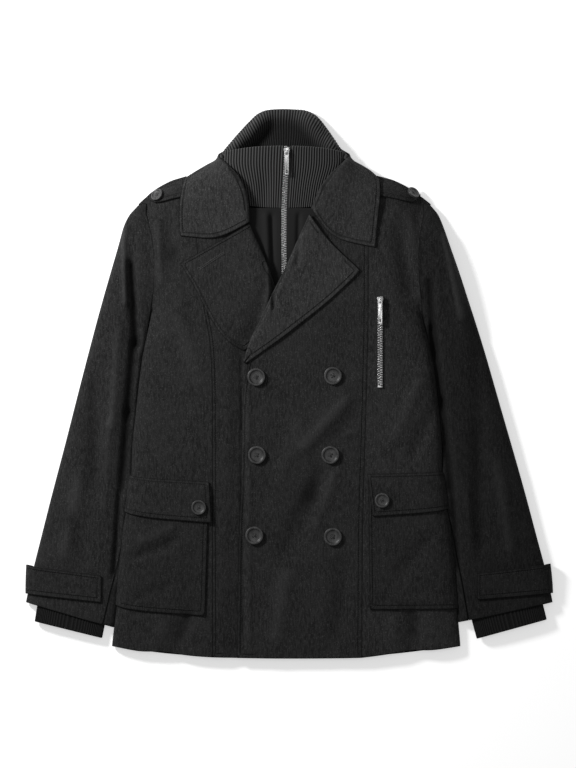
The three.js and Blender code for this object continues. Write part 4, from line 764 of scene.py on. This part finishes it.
# The same below the rim, where the back is drawn in to the neck
KNIT_NECK = [
    (1.0, 0.0), (0.86, 0.02), (0.74, 0.07), (0.63, 0.17), (0.54, 0.31), (0.46, 0.5), (0.37, 0.7),
    (0.23, 0.9), (0.02, 0.98), (-0.2, 0.9), (-0.33, 0.7), (-0.43, 0.46), (-0.54, 0.26),
    (-0.74, 0.07), (-1.0, 0.0),
]
SLUMP_SIDE = 19              # how high the slumped rim rolls up at its sides and at its back
SLUMP_BACK = 4
KNIT_WALL = 2.4
RIB_STEPS = 6                # mesh columns for one rib


def between_rows(rows, t):
    """A row of a table at t from 0 to 1, smoothly between its neighbours."""
    at = t * (len(rows) - 1)
    i = min(int(at), len(rows) - 2)
    f = at - i
    out = {}
    for key in rows[0]:
        p0, p1 = rows[max(i - 1, 0)][key], rows[i][key]
        p2, p3 = rows[i + 1][key], rows[min(i + 2, len(rows) - 1)][key]
        m1, m2 = (p2 - p0) / 2, (p3 - p1) / 2
        out[key] = ((2 * f ** 3 - 3 * f * f + 1) * p1 + (f ** 3 - 2 * f * f + f) * m1
                    + (3 * f * f - 2 * f ** 3) * p2 + (f ** 3 - f * f) * m2)
    return out


def power(value, exponent):
    return math.copysign(abs(value) ** exponent, value)


def knit_spot(x, y, z):
    """A point of a knitted wall, moved from the drawing's zero to the frame's."""
    return x + PATTERN_SHIFT[0], y + PATTERN_SHIFT[1], z


def knit_front(row, angle):
    """A point of the collar's front wall: angle 0 in front, a quarter turn at the sides."""
    flat = power(math.cos(angle), row["flat"]) if math.cos(angle) > 1e-9 else 0.0
    x = KNIT_MIDDLE + row["half"] * power(math.sin(angle), 0.9)
    y = row["side"] + (row["front"] - row["side"]) * flat
    z = row["mid"] + (row["high"] - row["mid"]) * flat
    # a soft dent low down beside the zip
    z -= 3.4 * math.exp(-((x + 36) / 10) ** 2 - ((y - 296) / 30) ** 2)
    return knit_spot(x, y, z)


def knit_back(row, share, up):
    """A point of the collar's back wall: share 0 at one side and 1 at the other."""
    rim = between_rows([{"u": u, "v": v} for u, v in KNIT_RIM], share)
    neck = between_rows([{"u": u, "v": v} for u, v in KNIT_NECK], share)
    to_rim = float(smoothstep(0.6, 1.05, up))
    at = {key: neck[key] + (rim[key] - neck[key]) * to_rim for key in rim}
    x = KNIT_MIDDLE + row["half"] * at["u"]
    y = row["side"] + (row["back"] - row["side"]) * at["v"]
    z = row["mid"] + (row["low"] - row["mid"]) * min(1, max(0, at["v"]) * row["drop"])
    slumped = float(smoothstep(0.12, 0.5, abs(at["u"]))) * float(smoothstep(0.02, 0.3, at["v"]))
    z += (SLUMP_SIDE * slumped + SLUMP_BACK * (1 - slumped)) * math.exp(-((up - 0.88) / 0.085) ** 2)
    return knit_spot(x, y, z)


def ribbed_wall(name, spots, ribs, wall, closed_round, tone):
    """A ribbed wall with a rounded rim, from a grid of spots given row by row."""
    rows, columns = spots.shape[:2]
    if closed_round:
        along = np.roll(spots, -1, 1) - np.roll(spots, 1, 1)
    else:
        along = np.gradient(spots, axis=1)
    up = np.gradient(spots, axis=0)
    normal = np.cross(along, up)
    normal /= np.linalg.norm(normal, axis=2, keepdims=True)
    phase = np.arange(columns) * ribs * 2 * math.pi / (columns if closed_round else columns - 1)
    wave = 0.5 - 0.5 * np.cos(phase)
    crest = wave ** 0.7
    half = wall * MM / 2
    out_by = half + (crest - 0.35) * sizes().rib_depth
    in_by = half + (crest - 0.35) * sizes().rib_depth * 0.8
    layers = [spots + normal * out_by[None, :, None] - normal * half]
    lip_up = up[-1] / np.linalg.norm(up[-1], axis=1, keepdims=True)
    for turn in (45, 90, 135):
        a = math.radians(turn)
        reach = np.where(turn <= 90, out_by, in_by)[:, None]
        lip = normal[-1] * (reach * math.cos(a) - half) + lip_up * half * math.sin(a)
        layers.append((spots[-1] + lip)[None])
    layers.append((spots - normal * in_by[None, :, None] - normal * half)[::-1])
    grid = np.concatenate(layers)
    count = len(grid)
    points = grid.reshape(-1, 3)
    points[:, 2] = np.maximum(points[:, 2], 0.2 * MM)
    faces = []
    spans = columns if closed_round else columns - 1
    for j in range(count):
        nxt = (j + 1) % count
        for i in range(spans):
            k = (i + 1) % columns
            faces.append((j * columns + i, j * columns + k, nxt * columns + k, nxt * columns + i))
    if not closed_round:
        last = columns - 1
        for j in range(rows - 1):
            back = count - 1 - j
            faces.append((j * columns, (j + 1) * columns, (back - 1) * columns, back * columns))
            faces.append((j * columns + last, back * columns + last, (back - 1) * columns + last,
                          (j + 1) * columns + last))
        top, below = rows - 1, count - rows
        faces.append(tuple(j * columns for j in range(top, below + 1)))
        faces.append(tuple(j * columns + last for j in range(below, top - 1, -1)))
    obj = new_object(name, points, faces)
    # the rib colour: painted shade in the valleys and the collar's hollow, and the cuffs drawn darker
    tones = np.concatenate([tone, np.repeat(tone[-1:], 3, 0), tone[::-1]])
    write_attribute(obj, "rib_height_and_shade", wave[None] * tones)
    outward(obj)
    return obj


def zip_line(y):
    """Where the neck zip runs, in millimetres across at a height y up the coat."""
    ys = [90, 182, 226, 281, 328, 372]
    xs = [-5, -5, -5.5, -5, -2.5, -1]
    return float(np.interp(y, ys, xs))


ZIP_HALF = 4.8               # from the neck zip's middle to the knit beside it
FRONT_SHARE = 0.225          # of the collar's ribs, those from the zip to one side


def collar_spots():
    """Rows of points round the collar from the zip and back to it, evenly spaced in three runs."""
    columns = sizes().collar_ribs * RIB_STEPS + 1
    shares = np.linspace(0, 1, columns)
    marks = [0, FRONT_SHARE, 1 - FRONT_SHARE, 1]
    rows = []
    for t in np.linspace(0, 1, 30):
        row = between_rows(KNIT_ROWS, t)
        gap = ZIP_HALF / row["half"]
        shift = (zip_line(row["front"]) - KNIT_MIDDLE) / row["half"]
        runs_of = [
            [knit_front(row, a) for a in np.linspace(shift + gap, math.pi / 2, 120)],
            [knit_back(row, a, t) for a in np.linspace(0, 1, 240)],
            [knit_front(row, a) for a in np.linspace(-math.pi / 2, shift - gap, 120)],
        ]
        points = np.empty((columns, 3))
        for k in range(3):
            fine = np.array(runs_of[k])
            runs = np.concatenate([[0], np.cumsum(np.linalg.norm(np.diff(fine, axis=0), axis=1))])
            mine = (shares >= marks[k]) & (shares <= marks[k + 1])
            at = (shares[mine] - marks[k]) / (marks[k + 1] - marks[k]) * runs[-1]
            for axis in range(3):
                points[mine, axis] = np.interp(at, runs, fine[:, axis])
        rows.append(points)
    return np.array(rows) * MM


def collar_hollow_shade(spots):
    """How pale the ribs are: painted shade darkens the hollow behind the front."""
    rows, columns = spots.shape[:2]
    up = np.linspace(0, 1, rows)[:, None]
    share = np.linspace(0, 1, columns)[None]
    back = smoothstep(FRONT_SHARE, FRONT_SHARE + 0.04, share) * (1 - smoothstep(
        1 - FRONT_SHARE - 0.04, 1 - FRONT_SHARE, share))
    return 1 - 0.62 * back * (1 - smoothstep(0.7, 1.0, up))


CUFF_TONE = 0.3              # the cuffs' ribs are drawn darker than the collar's
# The lower and the upper end of each cuff: x and y at its outer and at its inner side
CUFF_ENDS = {
    "r": [{"ox": -394, "oy": -372, "ix": -293, "iy": -397},
          {"ox": -386, "oy": -322, "ix": -284, "iy": -352}],
    "l": [{"ox": 404, "oy": -369, "ix": 299, "iy": -398},
          {"ox": 392, "oy": -320, "ix": 285, "iy": -346}],
}
CUFF_FLOOR = 3.4
CUFF_HEIGHT = 10.4


def cuff_spots(letter):
    """Rows of points round a storm cuff, from its upper end down."""
    columns = sizes().cuff_ribs * RIB_STEPS
    rows = []
    for t in np.linspace(1, 0, 12):
        row = between_rows(CUFF_ENDS[letter], t)
        line = []
        for i in range(columns):
            angle = -SIDES[letter] * 2 * math.pi * i / columns
            across = (1 + power(math.cos(angle), 0.8)) / 2
            line.append(knit_spot(
                row["ix"] + (row["ox"] - row["ix"]) * across,
                row["iy"] + (row["oy"] - row["iy"]) * across,
                CUFF_FLOOR + CUFF_HEIGHT * (0.5 + 0.5 * power(math.sin(angle), 0.55))))
        rows.append(line)
    return np.array(rows) * MM


def knitted(node_name, spots, ribs, wall, closed_round, tone):
    obj = ribbed_wall(f"{node_name}_knit", spots, ribs, wall, closed_round, tone)
    seat(obj, rib_knit, 70, COAT, node_name)


# Small repeated things


def taken(obj):
    """An object's points and faces; the object itself goes."""
    points = points_of(obj.data)
    faces = [tuple(p.vertices) for p in obj.data.polygons]
    bpy.data.objects.remove(obj)
    return points, faces


def resized(scale, bevel=0.0):
    """Scales the primitive just added, bevels its edges, and gives its points and faces."""
    bpy.ops.object.mode_set(mode="EDIT")
    bpy.ops.transform.resize(value=scale)
    if bevel:
        bpy.ops.mesh.bevel(offset=bevel, segments=2, affect="EDGES")
    bpy.ops.object.mode_set(mode="OBJECT")
    return taken(bpy.context.view_layer.objects.active)


def stitch_shape(long, thick):
    bpy.ops.mesh.primitive_uv_sphere_add(segments=6, ring_count=5, radius=0.5)
    return resized((thick, thick, long))


def tooth_shape(wide, thick, long):
    bpy.ops.mesh.primitive_cube_add(size=1)
    return resized((thick, wide, long), long * 0.28)


def scattered(name, shape, places):
    """One mesh with a copy of the shape at each place, a 4 by 4 matrix."""
    points, faces = shape
    stacked = np.concatenate([
        points @ np.array(m.to_3x3()).T + np.array(m.translation) for m in places])
    count = len(points)
    joined = [tuple(v + k * count for v in face) for k in range(len(places)) for face in faces]
    return new_object(name, stacked, joined)


def placed(at, along, up):
    """A matrix whose Z runs along and whose X looks up from the surface."""
    z = along.normalized()
    x = (up - z * up.dot(z)).normalized()
    y = z.cross(x)
    turn = Matrix((x, y, z)).transposed().to_4x4()
    return Matrix.Translation(at) @ turn


def surface_of(node_name):
    """A search tree over a finished cloth piece."""
    mesh = bpy.data.objects[f"{node_name}_cloth"].data
    return BVHTree.FromPolygons(
        [v.co for v in mesh.vertices], [tuple(p.vertices) for p in mesh.polygons])


def along_line(line, pitch, start, jump=math.inf):
    """Places every pitch along a line of points, each a point and the way on; jumps are left out."""
    left, out = start, []
    for a, b in zip(line, line[1:]):
        run = (b - a).length
        if run > jump:
            left = start
            continue
        while left < run:
            out.append((a.lerp(b, left / run), b - a))
            left += pitch
        left -= run
    return out


def stitch_places(chains, surface, inset, pitch):
    """Evenly spaced places along the chains, moved in from the edge and set on the cloth."""
    tree = tree_of([point for chain in chains for point, _ in chain])
    places = []
    for chain in chains:
        line = [point + inward * inset for point, inward in chain]
        line = [p for p in line if tree.find(p)[2] > inset * 0.86]
        for at, way in along_line(line, pitch, pitch / 2, 30 * MM):
            hit, normal, _, off = surface.find_nearest(at)
            if hit is not None and off < 4 * MM:
                places.append(placed(hit + normal * 0.05 * MM, way, normal))
    return places


# Operators


def pairs(*kinds):
    """The nodes of these kinds, first on the wearer's right and then on the left."""
    return tuple(f"{kind}_{letter}" for letter in "rl" for kind in kinds)


class CoatOperator:
    """What the operators share: those that make cloth pieces only name them."""

    bl_options = {"REGISTER", "UNDO"}
    pieces = ()

    def execute(self, context):
        for name in self.pieces:
            cloth_piece(name)
        return {"FINISHED"}


class COAT_OT_body(CoatOperator, bpy.types.Operator):
    """Back, side fronts and centre fronts"""

    bl_idname = "coat.body"
    bl_label = "Body"
    pieces = ("back", *pairs("side_front", "centre_front"))


class COAT_OT_collar(CoatOperator, bpy.types.Operator):
    """Collar and lapels"""

    bl_idname = "coat.collar"
    bl_label = "Collar and lapels"
    pieces = ("lapel_r", "lapel_l", "collar")


class COAT_OT_sleeves(CoatOperator, bpy.types.Operator):
    """Top and under sleeves"""

    bl_idname = "coat.sleeves"
    bl_label = "Sleeves"
    pieces = pairs("top_sleeve", "under_sleeve")


class COAT_OT_pockets(CoatOperator, bpy.types.Operator):
    """Patch pockets and their flaps"""

    bl_idname = "coat.pockets"
    bl_label = "Pockets and flaps"
    pieces = pairs("pocket", "flap")


class COAT_OT_straps(CoatOperator, bpy.types.Operator):
    """Cuff straps and epaulettes"""

    bl_idname = "coat.straps"
    bl_label = "Straps and epaulettes"
    pieces = pairs("cuff_strap", "epaulette")


class COAT_OT_bib(CoatOperator, bpy.types.Operator):
    """Smooth inner bib, one piece on each side of the neck zip"""

    bl_idname = "coat.bib"
    bl_label = "Bib"
    pieces = pairs("bib")


class COAT_OT_knit(CoatOperator, bpy.types.Operator):
    """Rib-knit funnel collar and storm cuffs"""

    bl_idname = "coat.knit"
    bl_label = "Rib knit"

    def execute(self, context):
        spots = collar_spots()
        knitted("rib_collar", spots, sizes().collar_ribs, KNIT_WALL, False,
                collar_hollow_shade(spots))
        for letter in "rl":
            spots = cuff_spots(letter)
            knitted(f"storm_cuff_{letter}", spots, sizes().cuff_ribs, KNIT_WALL * 0.8, True,
                    np.full(spots.shape[:2], CUFF_TONE))
        return {"FINISHED"}


BUTTON_THICK = 0.17          # as a share of the diameter


def button_shape(diameter):
    """A rimmed button with a dished face and four holes, its back at zero and facing up."""
    radius, thick = diameter / 2, diameter * BUTTON_THICK
    bpy.ops.mesh.primitive_cylinder_add(
        vertices=48, radius=radius, depth=thick, location=(0, 0, thick / 2))
    obj = bpy.context.view_layer.objects.active
    bpy.ops.object.transform_apply(location=True, rotation=False, scale=False)
    bpy.ops.object.mode_set(mode="EDIT")
    bpy.ops.mesh.select_all(action="DESELECT")
    bpy.ops.mesh.select_mode(type="FACE")
    bm = bmesh.from_edit_mesh(obj.data)
    for face in bm.faces:
        face.select = face.normal.z > 0.9
    bmesh.update_edit_mesh(obj.data)
    # the rim, the slope down from it, the dished face and the flat round the holes
    for inset, sink in ((0.24, 0), (0.07, 0.36), (0.3, 0.06), (0.3, 0)):
        bpy.ops.mesh.inset(thickness=radius * inset)
        if sink:
            bpy.ops.transform.translate(value=(0, 0, -thick * sink))
    bpy.ops.object.mode_set(mode="OBJECT")
    use_modifier(obj, "BEVEL", width=radius * 0.055, segments=3, limit_method="ANGLE",
                 angle_limit=math.radians(40))
    for degrees in (45, 135, 225, 315):
        angle = math.radians(degrees)
        bpy.ops.mesh.primitive_cylinder_add(
            vertices=14, radius=radius * 0.105, depth=thick * 3,
            location=(math.cos(angle) * radius * 0.2, math.sin(angle) * radius * 0.2, thick / 2))
        drill = bpy.context.view_layer.objects.active
        use_modifier(obj, "BOOLEAN", operation="DIFFERENCE", object=drill, solver="EXACT")
        bpy.data.objects.remove(drill)
    return taken(obj)


def cross_threads(diameter):
    """Two crossed pairs of threads from hole to hole of a button, as places for one stitch."""
    radius, thick = diameter / 2, diameter * BUTTON_THICK
    places = []
    for angle in (math.radians(45), math.radians(135)):
        along = Vector((math.cos(angle), math.sin(angle), 0))
        for side in (-1, 1):
            across = along.cross(UP) * side * radius * 0.028
            places.append(placed(across + UP * thick * 0.6, along, UP))
    return places


class COAT_OT_buttons(CoatOperator, bpy.types.Operator):
    """Front, flap and epaulette buttons with their crossed threads"""

    bl_idname = "coat.buttons"
    bl_label = "Buttons"

    def execute(self, context):
        shapes = {d: button_shape(d * MM) for d in sorted(set(BUTTONS.values()))}
        thread_places = []
        for k, (name, diameter) in enumerate(BUTTONS.items()):
            foot, axis = button_places()[name]
            turn = UP.rotation_difference(axis).to_matrix().to_4x4()
            spin = Matrix.Rotation(math.radians(17 * k % 60 - 30), 4, "Z")
            place = Matrix.Translation(foot) @ turn @ spin
            obj = scattered(f"{name}_disc", shapes[diameter], [place])
            outward(obj)
            seat(obj, horn_polyester, 35, COAT, name)
            thread_places += [(place @ thread, diameter) for thread in cross_threads(diameter * MM)]
        for diameter in sorted(shapes):
            shape = stitch_shape(diameter * MM * 0.31, diameter * MM * 0.055)
            places = [place for place, size in thread_places if size == diameter]
            seat(scattered(f"button_threads_{diameter}", shape, places), sewing_thread)
        return {"FINISHED"}


def chain_points(node_name):
    """Middle points along a zip's upper face, from its node, low end first."""
    points = points_of(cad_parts[node_name].data)
    rows = {}
    for p in points:
        rows.setdefault(round(p[1] / (0.6 * MM)), []).append(p)
    line = []
    for key in sorted(rows):
        group = np.array(rows[key])
        top = group[group[:, 2] > group[:, 2].max() - 0.4 * MM]
        if np.ptp(top[:, 0]) > 5 * MM:
            middle = (top[:, 0].min() + top[:, 0].max()) / 2
            line.append(Vector((middle, top[:, 1].mean(), top[:, 2].max())))
    kept = [line[0]]
    for point in line[1:-1]:
        if point.y - kept[-1].y > 4 * MM and line[-1].y - point.y > 4 * MM:
            kept.append(point)
    return kept + [line[-1]]


# How far each zip's teeth stand from its middle, and how wide its tape is
ZIPS = {"neck": (1.9, 15), "chest": (1.8, 9)}


class COAT_OT_zips(CoatOperator, bpy.types.Operator):
    """Zip teeth, tapes, sliders and pulls"""

    bl_idname = "coat.zips"
    bl_label = "Zips"

    def execute(self, context):
        pitch = sizes().tooth_pitch
        tooth = tooth_shape(4.5 * MM, 1.5 * MM, 1.25 * MM)
        stop = tooth_shape(7.4 * MM, 1.9 * MM, 3.2 * MM)
        for name, (half, tape_width) in ZIPS.items():
            line = chain_points(f"{name}_zip")
            places = []
            for side in (-1, 1):
                start = pitch * (0.25 if side < 0 else 0.75)
                for point, along in along_line(line, pitch, start):
                    across = along.cross(UP).normalized()
                    at = point + across * side * half * MM - UP * 0.35 * MM
                    places.append(placed(at, along, UP))
            seat(scattered(f"{name}_zip_teeth", tooth, places), nickel_plate)
            end = placed(line[0] + Vector((0, 1.6, -0.3)) * MM, line[1] - line[0], UP)
            seat(scattered(f"{name}_zip_stop", stop, [end]), nickel_plate)
            seat(zip_band(name, line, tape_width / 2 * MM), zip_tape, 30, COAT, f"{name}_zip")
            metal_copy(f"{name}_slider", COAT)
            metal_copy(f"{name}_pull", f"{name}_tab")
        return {"FINISHED"}


def zip_band(name, line, half):
    """The tape under a chain, a thin strip along the line."""
    points, faces = [], []
    for point in line:
        for x, z in ((-half, -1.3), (half, -1.3), (half, -2.0), (-half, -2.0)):
            points.append(point + Vector((x, 0, z * MM)))
    count = len(line)
    for j in range(count - 1):
        for k in range(4):
            a, b = j * 4 + k, j * 4 + (k + 1) % 4
            faces.append((a, b, b + 4, a + 4))
    faces += [(3, 2, 1, 0), tuple(4 * (count - 1) + k for k in range(4))]
    obj = new_object(f"{name}_zip_tape", points, faces)
    outward(obj)
    return obj


def metal_copy(node_name, body):
    """A slider or pull as its node has it, with its edges rounded by the casting."""
    obj = edit_copy(node_name, "cast")
    bpy.ops.mesh.dissolve_limited(angle_limit=math.radians(2))
    bpy.ops.object.mode_set(mode="OBJECT")
    use_modifier(obj, "BEVEL", width=0.32 * MM, segments=2, limit_method="ANGLE",
                 angle_limit=math.radians(30), use_clamp_overlap=True)
    seat(obj, nickel_plate, 40, body, node_name)


class COAT_OT_stitching(CoatOperator, bpy.types.Operator):
    """Topstitching along the edges and the lapel's buttonhole"""

    bl_idname = "coat.stitching"
    bl_label = "Stitching"

    def execute(self, context):
        shape = stitch_shape(sizes().stitch_pitch * 0.78, sizes().thread)
        for name, chains in BORDERS.items():
            if not chains:
                continue
            places = stitch_places(
                chains, surface_of(name), sizes().stitch_inset, sizes().stitch_pitch)
            if places:
                seat(scattered(f"{name}_stitches", shape, places), sewing_thread)
        buttonhole()
        return {"FINISHED"}


HOLE_FROM = (-139, 181)      # the lapel's buttonhole, in millimetres
HOLE_TO = (-101, 206)
LIP_MM = 1.1                 # from the cut to the stitches on each side of it
LIP_PITCH_MM = 0.75
EYE_MM = 2.2                 # radius of the eye at its end, sewn with this many stitches
EYE_STITCHES = 14


def buttonhole():
    """A keyhole buttonhole: close stitches across its two lips and round its eye."""
    surface = surface_of("lapel_r")
    start, end = Vector((*HOLE_FROM, 0)) * MM, Vector((*HOLE_TO, 0)) * MM
    along = (end - start).normalized()
    across = Vector((-along.y, along.x, 0))
    spots = []
    run = (end - start).length
    count = int(run / (LIP_PITCH_MM * MM))
    for i in range(count + 1):
        for side in (-1, 1):
            spots.append((start + along * run * i / count + across * side * LIP_MM * MM, across))
    for k in range(EYE_STITCHES):
        angle = math.radians(360 * k / EYE_STITCHES)
        way = along * math.cos(angle) + across * math.sin(angle)
        spots.append((start - along * 1.6 * MM + way * EYE_MM * MM, way))
    places = []
    for spot, way in spots:
        hit, normal, _, _ = surface.ray_cast(spot + UP * 0.2, -UP)
        if hit is not None:
            places.append(placed(hit + normal * 0.1 * MM, way, normal))
    shape = stitch_shape(2.4 * MM, 0.8 * MM)
    seat(scattered("lapel_buttonhole", shape, places), sewing_thread)


# Stage

FRAME_HEIGHT = 1.206         # what the picture's height covers
CAMERA_UP = 8.0
CAMERA_SENSOR = 36.0
CAMERA_AT = (-1.78 * MM, 0.22 * MM)
FLOOR_WIDTH = 12
FLOOR_Z = -0.0006            # just below the coat's back
WORLD_LIGHT = 0.22
# Where each lamp hangs, its width in metres and its watts
LAMPS = {"key": ((-1.3, 0.86, 1.08), 0.4, 35), "overhead": ((0.0, 0.3, 3.4), 1.3, 9)}


class COAT_OT_stage(CoatOperator, bpy.types.Operator):
    """White floor, soft studio light from the upper left, and the camera straight above"""

    bl_idname = "coat.stage"
    bl_label = "Stage"

    def execute(self, context):
        scene = context.scene
        bpy.ops.mesh.primitive_plane_add(size=FLOOR_WIDTH, location=(0, 0, FLOOR_Z))
        floor = bpy.context.view_layer.objects.active
        floor.name = "paper_sweep"
        bpy.ops.object.transform_apply(location=True)
        floor.data.materials.append(material_of(paper))
        for name, (place, size, watts) in LAMPS.items():
            lamp(name, place, size, watts)
        world = bpy.data.worlds.new("studio")
        world.use_nodes = True
        sky = world.node_tree.nodes["Background"]
        sky.inputs["Color"].default_value = (1, 1, 1, 1)
        sky.inputs["Strength"].default_value = WORLD_LIGHT
        scene.world = world
        scene.view_settings.view_transform = "Standard"
        camera = bpy.data.cameras.new("overhead")
        camera.sensor_width = CAMERA_SENSOR
        camera.lens = CAMERA_SENSOR * CAMERA_UP / FRAME_HEIGHT
        camera.clip_end = 100
        scene.camera = linked("overhead", camera)
        scene.camera.location = (*CAMERA_AT, CAMERA_UP)
        return {"FINISHED"}


def lamp(name, place, size, watts):
    """A round lamp that shines at the frame's origin."""
    data = bpy.data.lights.new(name, "AREA")
    data.shape = "DISK"
    data.size = size
    data.energy = watts
    obj = linked(name, data)
    obj.location = place
    obj.rotation_mode = "QUATERNION"
    obj.rotation_quaternion = (-Vector(place)).to_track_quat("-Z", "Y")
    obj.visible_camera = False


OPERATORS = [
    COAT_OT_body, COAT_OT_collar, COAT_OT_sleeves, COAT_OT_pockets, COAT_OT_straps, COAT_OT_bib,
    COAT_OT_knit, COAT_OT_buttons, COAT_OT_zips, COAT_OT_stitching, COAT_OT_stage,
]


class COAT_PT_panel(bpy.types.Panel):
    """Lists the coat's pieces and the stage"""

    bl_label = "Pea Coat"
    bl_idname = "COAT_PT_panel"
    bl_space_type = "VIEW_3D"
    bl_region_type = "UI"
    bl_category = "Pea Coat"

    def draw(self, context):
        for group in (context.scene.coat_sizes, context.scene.coat_colours):
            for name in group.bl_rna.properties.keys():
                if name not in {"rna_type", "name"}:
                    self.layout.prop(group, name)
        for operator in OPERATORS:
            self.layout.operator(operator.bl_idname)


CLASSES = [CoatSizes, CoatColours, *OPERATORS, COAT_PT_panel]


def register():
    for made in CLASSES:
        bpy.utils.register_class(made)
    bpy.types.Scene.coat_sizes = PointerProperty(type=CoatSizes)
    bpy.types.Scene.coat_colours = PointerProperty(type=CoatColours)


def unregister():
    del bpy.types.Scene.coat_colours
    del bpy.types.Scene.coat_sizes
    for made in reversed(CLASSES):
        bpy.utils.unregister_class(made)


def main():
    register()
    bpy.ops.coat.body()
    bpy.ops.coat.collar()
    bpy.ops.coat.sleeves()
    bpy.ops.coat.pockets()
    bpy.ops.coat.straps()
    bpy.ops.coat.bib()
    bpy.ops.coat.knit()
    bpy.ops.coat.buttons()
    bpy.ops.coat.zips()
    bpy.ops.coat.stitching()
    bpy.ops.coat.stage()


if __name__ == "__main__":
    main()
